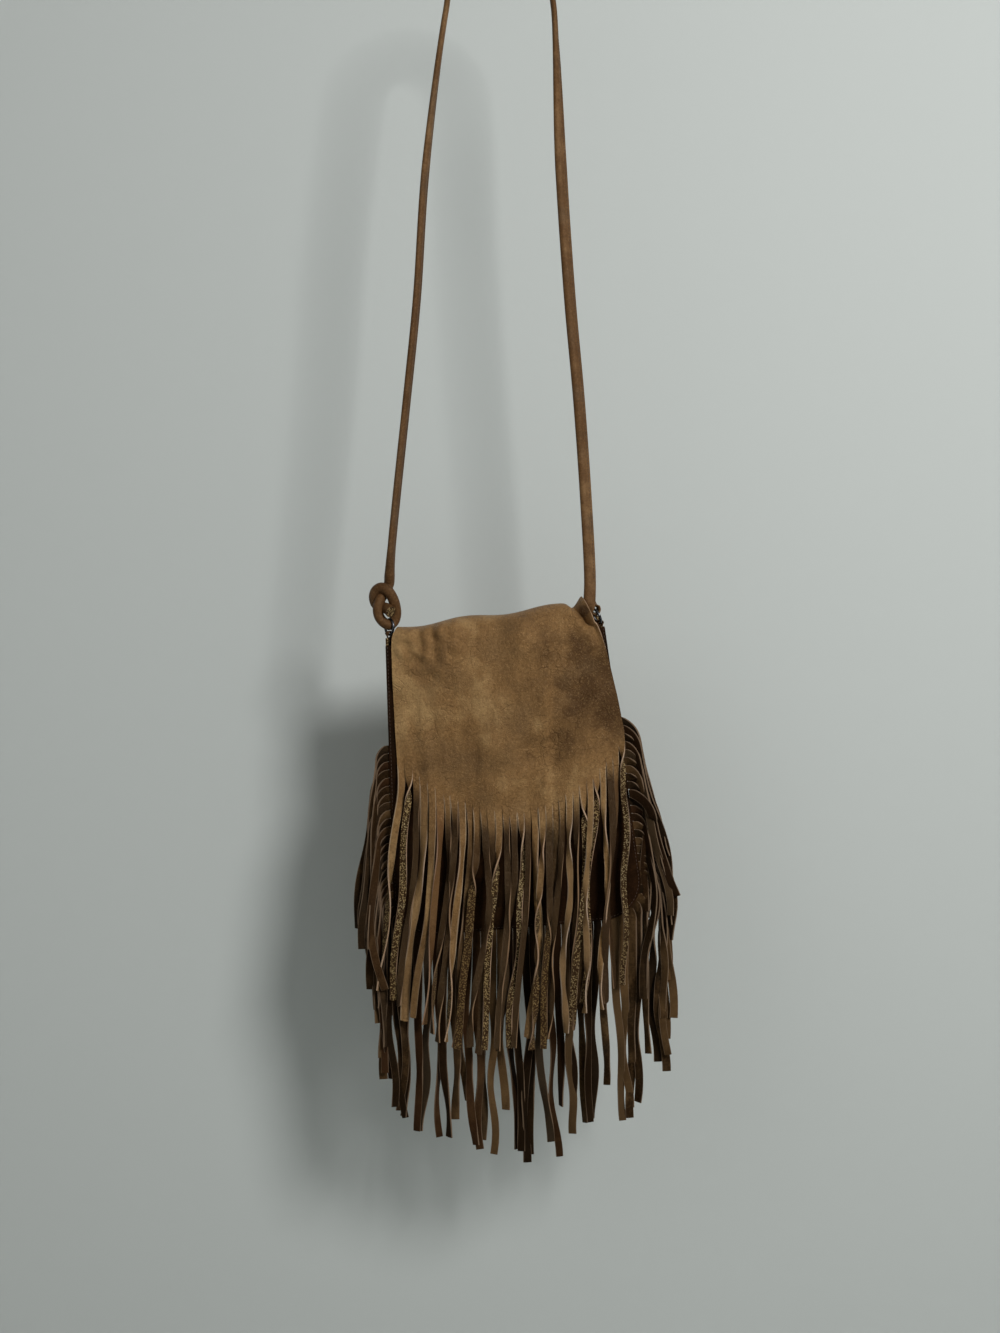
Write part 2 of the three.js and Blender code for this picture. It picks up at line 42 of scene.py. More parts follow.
# sizes shared by several pieces, as the solids have them
bag = {
    "hide": 1.4, "fringeHide": 1.1, "gap": 0.4, "seam": 4,
    "mouthWidth": 217, "bottomWidth": 250, "height": 297, "cornerRadius": 42, "depth": 26,
    "frontSwell": 7, "backSwell": 3, "mouthDip": 8, "lean": math.radians(5),
    "mouthX": -5.5, "mouthDrop": 669, "rightEndDrop": 7,
}
bandY = -(bag["depth"] / 2 + bag["gap"] + bag["fringeHide"] / 2)
frontY = bandY - bag["fringeHide"] / 2 - bag["gap"] - bag["hide"] / 2
backY = bag["depth"] / 2 + bag["gap"] + bag["hide"] / 2
flapY = frontY - bag["hide"] - 1.2


# the camera: level with the middle of the picture, 1.6 m in front of the bag
view = {"distance": 1.6, "height": -0.7065, "frame": (1000, 1333), "sensor": 36}
eye = bpy.data.cameras.new("camera")
eye.sensor_width = view["sensor"]
eye.lens = view["sensor"] * view["distance"] / (view["frame"][1] * mm)
camera = bpy.data.objects.new("camera", eye)
camera.location = (0, -view["distance"], view["height"])
camera.rotation_euler = (math.pi / 2, 0, 0)
scene.collection.objects.link(camera)
scene.camera = camera
print("camera set")


# small helpers
def vary(i, kind):
    # a number between 0 and 1, fixed for this strip and this kind of difference
    wild = math.sin(i * 12.9898 + kind * 78.233) * 43758.5453
    return wild - math.floor(wild)


def smooth(x, low, high):
    t = np.clip((np.asarray(x, float) - low) / (high - low), 0, 1)
    return t * t * (3 - 2 * t)


def lerp(a, b, t):
    return a + (b - a) * t


def bell(x, middle, reach):
    return np.exp(-((x - middle) / reach) ** 2)


def unit(v):
    v = np.asarray(v, float)
    return v / np.maximum(np.linalg.norm(v, axis=-1, keepdims=True), 1e-12)


def place(across, y, down):
    # a point of the leaning bag: across from the middle of the mouth, and down from it
    across, y, down = np.broadcast_arrays(across, y, down)
    c, s = math.cos(bag["lean"]), math.sin(bag["lean"])
    x = bag["mouthX"] + across * c + down * s
    z = -bag["mouthDrop"] + across * s - down * c
    return np.stack([x, y, z], -1)


def ripples(a, b, size, seed):
    # soft random waves about as long as size, with an ordinary height of 1
    dice, count = np.random.default_rng(seed), 9
    total = np.zeros(np.broadcast(a, b).shape)
    for _ in range(count):
        way, phase = dice.uniform(0, 2 * math.pi, 2)
        k = 2 * math.pi / size * dice.uniform(0.6, 1.5)
        total += np.sin(k * (a * math.cos(way) + b * math.sin(way)) + phase)
    return total / math.sqrt(count / 2)


def waves(s, i, kind, size, more):
    # a slow wave along strip i, at its own length between size and size + more and its own phase
    return np.sin(2 * math.pi * (s / (size + more * vary(i, kind)) + vary(i, kind + 1)))


def halfWidth(down):
    down = np.asarray(down, float)
    straight = lerp(bag["mouthWidth"], bag["bottomWidth"], down / bag["height"]) / 2
    into = np.clip((down - bag["height"] + bag["cornerRadius"]) / bag["cornerRadius"], 0, 1)
    return straight - bag["cornerRadius"] * (1 - np.sqrt(1 - into**2))


def panelDepths(top, straightRows, cornerRows):
    straight = bag["height"] - bag["cornerRadius"]
    upper = top + (straight - top) * np.arange(straightRows) / straightRows
    turn = np.arange(cornerRows + 1) / cornerRows * math.pi / 2
    return np.concatenate([upper, straight + bag["cornerRadius"] * np.sin(turn)])


def fullness(share, down):
    # how far the pouch swells at this share of its width, from 0 at its seams to about 1 in its middle
    level = np.clip(np.asarray(down, float) / bag["height"], 0, 1)
    return (1 - share**2) * (0.35 + 0.65 * np.sin(math.pi * np.sqrt(level))) * (1 - level**6)


def newPiece(name, points, faces, materials, attributes=None, edges=()):
    mesh = bpy.data.meshes.new(name)
    corners = (np.asarray(points, float) * mm).tolist()
    mesh.from_pydata(corners, list(edges), [list(map(int, face)) for face in faces])
    for material in materials:
        mesh.materials.append(material)
    for key, values in (attributes or {}).items():
        values = np.asarray(values, np.float32)
        kind, field = ("FLOAT", "value") if values.ndim == 1 else ("FLOAT_VECTOR", "vector")
        mesh.attributes.new(key, kind, "POINT").data.foreach_set(field, values.ravel())
    mesh.polygons.foreach_set("use_smooth", np.ones(len(mesh.polygons), bool))
    piece = bpy.data.objects.new(name, mesh)
    scene.collection.objects.link(piece)
    return piece


def newLines(name, lines, attributes=None):
    # guide lines for a Geometry Nodes tree
    edges, first = [], 0
    for line in lines:
        edges += [(k, k + 1) for k in range(first, first + len(line) - 1)]
        first += len(line)
    return newPiece(name, np.concatenate(lines), [], [], attributes, edges)


def joined(lists):
    return {key: np.concatenate(values) for key, values in lists.items()}


def settle(piece):
    # the piece's modifiers become its mesh
    bpy.context.view_layer.update()
    depsgraph = bpy.context.evaluated_depsgraph_get()
    mesh = bpy.data.meshes.new_from_object(piece.evaluated_get(depsgraph), depsgraph=depsgraph)
    piece.modifiers.clear()
    old = piece.data
    piece.data = mesh
    mesh.set_sharp_from_angle(angle=math.radians(55))
    mesh.name = piece.name
    bpy.data.meshes.remove(old)
    return piece


def thicken(piece, thickness, inner=0, rim=0):
    # gives a sheet its thickness; its back and its cut edge may have their own materials
    solid = piece.modifiers.new("thickness", "SOLIDIFY")
    solid.thickness = thickness * mm
    solid.offset = 0
    solid.material_offset = inner
    solid.material_offset_rim = rim
    return settle(piece)


def gridFaces(rows, columns, closed=False, looped=False):
    # closed joins the last column to the first, and looped joins the last row to the first
    downs = [(r * columns, (r + 1) % rows * columns) for r in range(rows if looped else rows - 1)]
    steps = [(c, (c + 1) % columns) for c in range(columns if closed else columns - 1)]
    return [(r + c, below + c, below + beside, r + beside) for r, below in downs for c, beside in steps]


def newSheet(name, grid, materials, tone):
    # leather of the bag's own thickness; its materials are those of its two sides and its cut edge
    points = grid.reshape(-1, 3)
    tones = {"tone": np.full(len(points), tone)}
    piece = newPiece(name, points, gridFaces(*grid.shape[:2]), materials, tones)
    return thicken(piece, bag["hide"], 1, 2)


# materials
def isSocket(value):
    return isinstance(value, bpy.types.NodeSocket)


def feed(socket, value):
    # gives an input another node's result, or a number or colour
    if isSocket(value):
        socket.id_data.links.new(value, socket)
    elif socket.type == "RGBA" and len(value) == 3:
        socket.default_value = (*value, 1)
    else:
        socket.default_value = value


def add(tree, kind, settings=None, **inputs):
    node = tree.nodes.new(kind)
    for key, value in (settings or {}).items():
        setattr(node, key, value)
    for key, value in inputs.items():
        feed(node.inputs[key.replace("_", " ")], value)
    return node


def newMaterial(name):
    material = bpy.data.materials.new(name)
    material.use_nodes = True
    tree = material.node_tree
    tree.nodes.clear()
    shader = add(tree, "ShaderNodeBsdfPrincipled")
    add(tree, "ShaderNodeOutputMaterial", Surface=shader.outputs[0])
    return material, tree, shader


def mixColour(factor, a, b):
    node = add(factor.id_data, "ShaderNodeMix", {"data_type": "RGBA"})
    for at, value in ((0, factor), (6, a), (7, b)):
        feed(node.inputs[at], value)
    return node.outputs[2]


def maths(kind, a, b=0.0):
    node = add((a if isSocket(a) else b).id_data, "ShaderNodeMath", {"operation": kind})
    feed(node.inputs[0], a)
    feed(node.inputs[1], b)
    return node.outputs[0]


def times(a, b):
    return maths("MULTIPLY", a, b)


def plus(a, b):
    return maths("ADD", a, b)


def spread(value, low, high, toLow=0.0, toHigh=1.0):
    return add(value.id_data, "ShaderNodeMapRange", {"interpolation_type": "SMOOTHSTEP"}, Value=value,
               From_Min=low, From_Max=high, To_Min=toLow, To_Max=toHigh).outputs[0]


def cloud(where, size, detail=3.0, rough=0.55, distortion=0.0):
    # noise about as large as size, in millimetres
    return add(where.id_data, "ShaderNodeTexNoise", {"noise_dimensions": "3D"}, Vector=where,
               Scale=1000 / size, Detail=detail, Roughness=rough, Distortion=distortion).outputs[0]


def cells(where, size, feature="DISTANCE_TO_EDGE"):
    return add(where.id_data, "ShaderNodeTexVoronoi", {"feature": feature}, Vector=where,
               Scale=1000 / size).outputs["Distance"]


def carried(tree, key):
    # a number that the mesh carries
    return add(tree, "ShaderNodeAttribute", {"attribute_name": key}).outputs["Fac"]


def leather(name, look):
    # aged leather: blotches of dye, fine grain, creases, and each strip a little unlike the next; the creases
    # are painted darker as shade, and the pale grain specks and pale cut edges are partly painted highlight;
    # the attributes for tone, hue, stain and shade, and cut say how light, how red, how dyed (with painted
    # shade in places) and how raw each place is
    look = {"streak": 0.45, "grey": 0.5, "deep": look["dark"], "specular": 0.2, "sheen": 0.015,
            "crease": 1.2, "bump": 0.7, **look}
    material, tree, shader = newMaterial(name)
    where = add(tree, "ShaderNodeTexCoord").outputs["Object"]
    tone, hue = carried(tree, "tone"), carried(tree, "hue")
    streaked = add(tree, "ShaderNodeMapping", Vector=where, Scale=(1, 1, look["streak"])).outputs[0]
    large = cloud(streaked, look["blotch"], 4, 0.6, 0.6)
    middle = cloud(where, look["blotch"] * 0.28, 4, 0.6, 0.4)
    worn = cloud(where, look["blotch"] * 0.6, 2, 0.5)
    fine = cloud(where, 3.2, 4, 0.65)
    # fine speckles: the grain's own colour, and in the pale specks partly a painted glint on its pebbles
    speckleAndGlint = cloud(where, 1.9, 2, 0.7)
    # creases run along the borders of wavy cells, in some areas only; their lines are painted darker, a
    # painted shade in the creases
    shifts = add(tree, "ShaderNodeTexNoise", Vector=where, Scale=1000 / 22, Detail=3.0).outputs["Color"]
    shift = add(tree, "ShaderNodeVectorMath", {"operation": "SCALE"}, Vector=shifts, Scale=0.012).outputs[0]
    wavy = add(tree, "ShaderNodeVectorMath", {"operation": "ADD"}, Vector=where)
    feed(wavy.inputs[1], shift)
    creased = spread(cells(wavy.outputs[0], 9), 0.0, 0.07, 1.0, 0.0)
    creased = times(creased, spread(cloud(where, 34, 3, 0.6), 0.46, 0.66))
    # the mottling, with the flap's blotches of dye and of painted shade
    mottled = plus(plus(times(large, 0.65), times(middle, 0.35)), times(carried(tree, "stainAndShade"), 0.09))
    # the layers of colour, each with how strongly it covers those before it
    layers = [
        (spread(mottled, 0.46, 0.66), "light"), (spread(worn, 0.5, 0.7, 0.0, look["grey"]), "greyish"),
        # fine speckles darken and lighten the colour; the pale ones are partly painted glints
        (spread(fine, 0.4, 0.75, 0.0, 0.3), "dark"), (spread(speckleAndGlint, 0.3, 0.5, 0.34, 0.0), "dark"),
        # the crease lines are painted darker, as shade
        (spread(speckleAndGlint, 0.52, 0.72, 0.0, 0.3), "light"), (times(creased, 0.15), "dark"),
    ]
    # a pale band along the strips' cut edges: the raw leather's colour, and partly a painted highlight where
    # light catches the edges
    if "edge" in look:
        ragged = plus(carried(tree, "cut"), times(maths("SUBTRACT", fine, 0.5), 0.5))
        layers.append((spread(ragged, 0.5, 0.9, 0.0, 0.8), "edge"))
    layers += [
        (spread(hue, -1.0, -0.15, 0.75, 0.0), "greyish"), (spread(hue, 0.15, 1.0, 0.0, 0.75), "reddish"),
        (spread(tone, 0.0, 0.5, 0.92, 0.0), "deep"), (spread(tone, 0.5, 1.0, 0.0, 0.6), "light"),
    ]
    if "specks" in look:
        speckled = plus(cells(where, 1.5, "F1"), cloud(where, 2.2, 3, 0.7))
        layers.append((spread(speckled, 0.78, 1.02), "specks"))
    colour = mixColour(spread(mottled, 0.25, 0.48), look["dark"], look["mid"])
    for strength, key in layers:
        colour = mixColour(strength, colour, look[key])
    height = plus(times(spread(cells(where, 1.3), 0, 0.22), 0.35), times(fine, 0.8))
    height = plus(height, times(cloud(where, 9, 5, 0.7, 0.9), look["crease"]))
    height = maths("SUBTRACT", height, times(creased, 0.5))
    bump = add(tree, "ShaderNodeBump", Height=height, Strength=look["bump"], Distance=0.0008)
    finish = {"Base Color": colour, "Roughness": look["rough"], "Specular IOR Level": look["specular"],
              "Specular Tint": (1.0, 0.74, 0.48), "Sheen Weight": look["sheen"], "Sheen Roughness": 0.5,
              "Sheen Tint": (0.55, 0.4, 0.27), "Normal": bump.outputs[0]}
    for key, value in finish.items():
        feed(shader.inputs[key], value)
    return material


grain = leather("aged_leather_grain", {
    "dark": (0.072, 0.033, 0.011), "mid": (0.236, 0.126, 0.046), "light": (0.410, 0.252, 0.106),
    "greyish": (0.175, 0.105, 0.048), "reddish": (0.170, 0.074, 0.026), "deep": (0.020, 0.009, 0.003),
    "edge": (0.400, 0.285, 0.180), "blotch": 80, "rough": 0.42, "grey": 0.3, "specular": 0.36,
    "bump": 1.2})
flesh = leather("leather_flesh_side", {
    "dark": (0.140, 0.084, 0.030), "mid": (0.330, 0.228, 0.100), "light": (0.500, 0.380, 0.190),
    "greyish": (0.230, 0.185, 0.120), "reddish": (0.260, 0.150, 0.070), "blotch": 26, "rough": 0.95,
    "specks": (0.030, 0.014, 0.005), "bump": 0.9, "sheen": 0.15})
rawEdge = leather("leather_raw_edge", {
    "dark": (0.20, 0.12, 0.065), "mid": (0.37, 0.24, 0.150), "light": (0.50, 0.35, 0.24),
    "greyish": (0.36, 0.27, 0.20), "reddish": (0.38, 0.22, 0.15), "blotch": 22, "rough": 0.9})
darkGrain = leather("dark_leather_grain", {
    "dark": (0.020, 0.009, 0.003), "mid": (0.080, 0.034, 0.012), "light": (0.120, 0.060, 0.024),
    "greyish": (0.045, 0.028, 0.016), "reddish": (0.060, 0.022, 0.008), "blotch": 60, "rough": 0.7,
    "grey": 0.4, "specular": 0.12})
# the pouch front's leather, painted nearly black: painted shade for what is seen between and behind the
# strips
paintedShadeFront = leather("pouch_front_painted_shade", {
    "dark": (0.004, 0.0015, 0.0006), "mid": (0.013, 0.0048, 0.0018), "light": (0.034, 0.014, 0.005),
    "greyish": (0.014, 0.008, 0.004), "reddish": (0.02, 0.006, 0.002), "blotch": 50, "rough": 0.8,
    "specular": 0.08})


def plain(name, colour, rough, size, metal=0.0):
    # one colour, up to a quarter darker and paler in places about as large as size
    deep = 0.25
    material, tree, shader = newMaterial(name)
    where = add(tree, "ShaderNodeTexCoord").outputs["Object"]
    worn = cloud(where, size, 3)
    dark = tuple(c * (1 - deep) for c in colour)
    pale = tuple(min(1, c * (1 + deep)) for c in colour)
    bump = add(tree, "ShaderNodeBump", Height=worn, Strength=0.2, Distance=0.0002)
    finish = {"Base Color": mixColour(spread(worn, 0.3, 0.7), dark, pale), "Metallic": metal,
              "Roughness": spread(worn, 0.3, 0.7, rough * 0.8, min(1, rough * 1.2)),
              "Normal": bump.outputs[0]}
    for key, value in finish.items():
        feed(shader.inputs[key], value)
    return material


thread = plain("waxed_thread", (0.055, 0.032, 0.02), 0.8, 0.6)
gunmetal = plain("gunmetal", (0.09, 0.092, 0.1), 0.3, 4, metal=1.0)
strapLeather = leather("strap_leather", {
    "dark": (0.035, 0.015, 0.005), "mid": (0.095, 0.045, 0.017), "light": (0.220, 0.125, 0.055),
    "greyish": (0.095, 0.058, 0.032), "reddish": (0.130, 0.050, 0.022), "blotch": 70, "streak": 0.25,
    "rough": 0.5, "specular": 0.22, "bump": 0.4, "crease": 0.8, "sheen": 0.0})
print("materials made")


# hanging strips
def hangPath(direction, depth, length):
    # the strip's middle line: a table of x, y and z against the distance along it
    s = np.linspace(0, length, 400)
    now = direction(s)
    step = s[1] - s[0]
    x = np.concatenate([[0], np.cumsum((np.sin(now[1:]) + np.sin(now[:-1])) / 2) * step])
    z = -np.concatenate([[0], np.cumsum((np.cos(now[1:]) + np.cos(now[:-1])) / 2) * step])

    def at(distance):
        distance = np.asarray(distance, float)
        back = np.minimum(distance, 0)
        return np.stack([np.interp(distance, s, x) + back * math.sin(now[0]), depth(distance),
                         np.interp(distance, s, z) - back * math.cos(now[0])], -1)

    def frameAt(distance, turn):
        # the strip's own directions there, turned about its length: along it, across it and off its face
        angle = np.interp(distance, s, now)
        zero = np.zeros_like(angle)
        heading = np.stack([np.sin(angle), zero, -np.cos(angle)], -1)
        flat = np.stack([np.cos(angle), zero, np.sin(angle)], -1)
        side = flat * np.cos(turn)[..., None] + np.array([0, -1, 0]) * np.sin(turn)[..., None]
        return heading, side, np.cross(heading, side)

    return at, frameAt


# the hide: back, fold, flap and its strips, all one piece
hide = {
    "strips": 32, "columns": 4, "backRows": 26, "foldRows": 16, "flapRows": 64, "stripRows": 52,
    "sideDrop": 112, "middleDrop": 174, "rise": 14, "tilt": 4.5, "ripple": 2, "rippleLength": 0.95,
    "crestLeft": 96, "crestRight": 86, "topLeft": 102, "topRight": 99, "left": 107, "right": 119,
    "spread": 0.6, "length": 240, "share": 0.88, "layer": 3.4, "forward": 5, "bend": 40, "leftDrift": -0.11,
    "rightDrift": -0.035, "wander": 0.05, "wave": 0.1, "twist": 3.0, "turnedTwist": 6.0, "turnedShare": 0.32,
    "lengthSpread": 0.06, "slitJitter": 0.16, "cornerDrift": 0.03, "tiltSpread": 1.5, "tipSlant": 7,
    "shareSpread": 0.1, "widthWave": 0.05, "curl": 1.1, "easeLength": 22, "uneven": (0.5, 60),
    # waves of a strip: how high they are, their shortest length and by how much that may be more
    "kink": (0.03, 0.09, 90, 130), "sway": (1.2, 70, 50), "lively": (0.35, 70, 80),
    # strips that show the flesh side: which way they turn over, and from where to where
    "turnedOver": {1: (1, 8, 45), 10: (-1, 40, 110), 13: (1, 30, 90), 16: (1, 12, 60), 20: (-1, 90, 150),
                   25: (-1, 14, 60), 27: (-1, 8, 50), 31: (1, 4, 40)},
    # blotches on the flap, mostly dye: the dark ones right of the long fold are partly painted shade, and the
    # small strong one in the pinched right corner is painted shade; across, height, reach, and how much
    # lighter or darker
    "stainsAndShade": [(-84, -756, 30, 1.5), (-96, -682, 16, 1.0), (-62, -696, 24, -0.4), (-20, -735, 30, 0.7),
               (22, -680, 30, 0.5), (-55, -805, 24, -0.9), (-10, -824, 28, -0.6), (64, -785, 24, -1.2),
               (83, -651, 7, -4.5), (98, -750, 22, -0.2), (56, -690, 28, -0.9), (38, -765, 10, 1.8),
               (108, -790, 10, 0.6), (88, -735, 66, -1.8), (60, -730, 18, -0.5)],
    # the right corner of the fold: height, how far in from the edge, and reach
    "corner": {"out": (3.5, 0, 6), "peak": (7, 0, 3.5), "dip": (4.5, 8, 4)},
}


# how the flap's leather stands forward: soft waves, one long fold, bunched leather at the top left, pleats
# towards both sides, and the pinched right corner
relief = {
    "stand": 1.6, "least": -0.8,
    # of each wave: its height, its length, how it is drawn out along the height, and its seed
    "waves": [(1.9, 80, 0.6, 3), (0.75, 30, 0.7, 5)],
    "fold": {"x": 44, "height": 6.4, "left": 24, "right": 5, "fromTo": (30, 85)},
    "bunch": {"height": 2.0, "length": 19, "across": -72, "reach": 30, "fromTo": (8, 60)},
    "pleats": [{"height": 0.9, "length": 19, "slant": 0.10, "across": -84, "reach": 22, "fromTo": (20, 70)},
               {"height": 0.5, "length": 23, "slant": -0.22, "across": 92, "reach": 20, "fromTo": (40, 90)}],
    # height and reach of the edge, the valley and the roll; how far in the valley lies, at the top and lower
    "corner": {"fades": (2, 34), "edge": (2.6, 2.2), "valley": (8, 3.2), "roll": (1.8, 4.5),
               "inside": (8.0, 4.0), "rollInside": 8, "least": (-9.0, -0.7)},
}


def stainAndShadeAt(spot):
    # how much lighter or darker the blotches make each spot: dye, and painted shade by the fold and the
    # pinched corner
    total = np.zeros(spot.shape[:-1])
    for across, height, reach, amount in hide["stainsAndShade"]:
        far = ((spot[..., 0] - across) ** 2 + (spot[..., 2] - height) ** 2) / reach**2
        total += amount * np.exp(-far)
    return total


def foldHeight(share):
    ripple = np.sin((share + 0.5) / hide["rippleLength"] * 2 * math.pi)
    return hide["rise"] + hide["tilt"] * share + hide["ripple"] * ripple


def flapPoint(share, down, low):
    # a point of the flap's plain form, how far across it lies and how far in from the right edge
    left = lerp(hide["topLeft"], hide["left"], low ** hide["spread"])
    right = lerp(hide["topRight"], hide["right"], low ** hide["spread"])
    across = lerp(-left, right, (share + 1) / 2)
    y = flapY - bag["frontSwell"] * fullness(share, down)
    spot = place(across, y, down)
    return spot, across, right - across


def crumple(spot, across, down, fromEdge):
    # how far the flap's leather stands forward of its plain form
    x, z = spot[..., 0], spot[..., 2]
    stand = relief["stand"]
    for height, size, drawn, seed in relief["waves"]:
        stand = stand + height * ripples(x, z * drawn, size, seed)
    fold, bunch, corner = relief["fold"], relief["bunch"], relief["corner"]
    ridge = np.where(x < fold["x"], bell(x, fold["x"], fold["left"]), bell(x, fold["x"], fold["right"]))
    stand += fold["height"] * ridge * smooth(down, *fold["fromTo"])
    near = bell(across, bunch["across"], bunch["reach"])
    stand += bunch["height"] * ripples(x, z, bunch["length"], 7) * near * (1 - smooth(down, *bunch["fromTo"]))
    for pleat in relief["pleats"]:
        near = bell(across, pleat["across"], pleat["reach"])
        crests = np.cos(2 * math.pi * (x + pleat["slant"] * z) / pleat["length"]) * near
        stand += pleat["height"] * crests * smooth(down, *pleat["fromTo"])
    # the pinched right corner: the raw edge stands up, with a valley and a soft roll inside it
    fades = 1 - smooth(down, *corner["fades"])
    fromValley = fromEdge - lerp(*corner["inside"], smooth(down, 0, 30))
    stand = np.maximum(stand, relief["least"])
    stand += corner["edge"][0] * bell(fromEdge, 0, corner["edge"][1]) * fades
    stand -= corner["valley"][0] * bell(fromValley, 0, corner["valley"][1]) * fades**2
    stand += corner["roll"][0] * bell(fromValley, corner["rollInside"], corner["roll"][1]) * fades
    return np.maximum(stand, lerp(*corner["least"], smooth(down, 2, 8)))


def hideRows(shares):
    # the hide in rows from the bottom of the back, over the fold and down to where the flap is slit
    rows = []
    for down in panelDepths(0, hide["backRows"] - 8, 8)[::-1]:
        spot = place(shares * halfWidth(down), backY + bag["backSwell"] * fullness(shares, down), down)
        uneven = hide["uneven"][0] * ripples(spot[:, 0], spot[:, 2], hide["uneven"][1], 11)
        spot[:, 1] += uneven * fullness(shares, down)
        rows.append(spot)
    edge = bag["mouthWidth"] / 2
    level = np.zeros_like(shares)
    for r in range(1, hide["foldRows"]):
        turn = r / hide["foldRows"] * math.pi
        trim, over = math.sin(turn), (1 - math.cos(turn)) / 2
        left = lerp(lerp(edge, hide["topLeft"], over), hide["crestLeft"], trim)
        right = lerp(lerp(edge, hide["topRight"], over), hide["crestRight"], trim)
        across = lerp(-left, right, (shares + 1) / 2)
        front, _, fromEdge = flapPoint(shares, level, 0)
        y = lerp(backY, front[:, 1] - crumple(front, across, level, fromEdge), over)
        corner, inside = hide["corner"], right - across
        out, peak, dip = (corner[key][0] * bell(inside, *corner[key][1:]) for key in ("out", "peak", "dip"))
        rows.append(place(across + out * trim, y, -(foldHeight(shares) + (peak - dip)) * trim))
    for r in range(hide["flapRows"] + 1):
        low = r / hide["flapRows"]
        ends = lerp(hide["middleDrop"], hide["sideDrop"], shares**2)
        down = lerp(bag["mouthDip"] / 4, ends, low)
        spot, across, fromEdge = flapPoint(shares, down, low)
        spot[:, 1] -= crumple(spot, across, down, fromEdge)
        rows.append(spot)
    return np.array(rows)


def makeHide():
    n, k = hide["strips"], hide["columns"]
    slits = np.linspace(-1, 1, n + 1)
    slits[1:-1] += [hide["slitJitter"] * (vary(i, 21) - 0.5) * 2 / n for i in range(1, n)]
    shares = [np.linspace(slits[i], slits[i + 1], k, endpoint=False) for i in range(n)]
    grid = hideRows(np.concatenate(shares + [[1.0]]))
    rows, columns = grid.shape[:2]
    count = rows * columns
    faces = gridFaces(rows, columns)
    frontShare = smooth(np.arange(rows), hide["backRows"] + 4, hide["backRows"] + hide["foldRows"])
    points = [grid.reshape(-1, 3)]
    lists = {"tone": [np.full(count, 0.5)], "stainAndShade": [(stainAndShadeAt(grid) * frontShare[:, None]).ravel()],
             "hue": [np.zeros(count)], "cut": [np.zeros(count)]}
    for i in range(n):
        made, tone, cut, along = flapStrip(i, grid[-1, i * k:(i + 1) * k + 1])
        eased = 1 - smooth(along * hide["length"], 0, 50)
        points.append(made.reshape(-1, 3))
        lists["tone"].append(tone.ravel())
        lists["stainAndShade"].append((stainAndShadeAt(made) * eased).ravel())
        lists["hue"].append((2 * vary(i, 33) - 1) * (1 - eased).ravel())
        lists["cut"].append(cut.ravel())
        before = [(rows - 1) * columns + i * k + c for c in range(k + 1)]
        for j in range(hide["stripRows"]):
            now = [count + j * (k + 1) + c for c in range(k + 1)]
            faces += [(before[c], now[c], now[c + 1], before[c + 1]) for c in range(k)]
            before = now
        count += hide["stripRows"] * (k + 1)
    piece = newPiece("flap_and_back", np.concatenate(points), faces, [grain, flesh, rawEdge], joined(lists))
    return thicken(piece, bag["hide"], 1, 2)


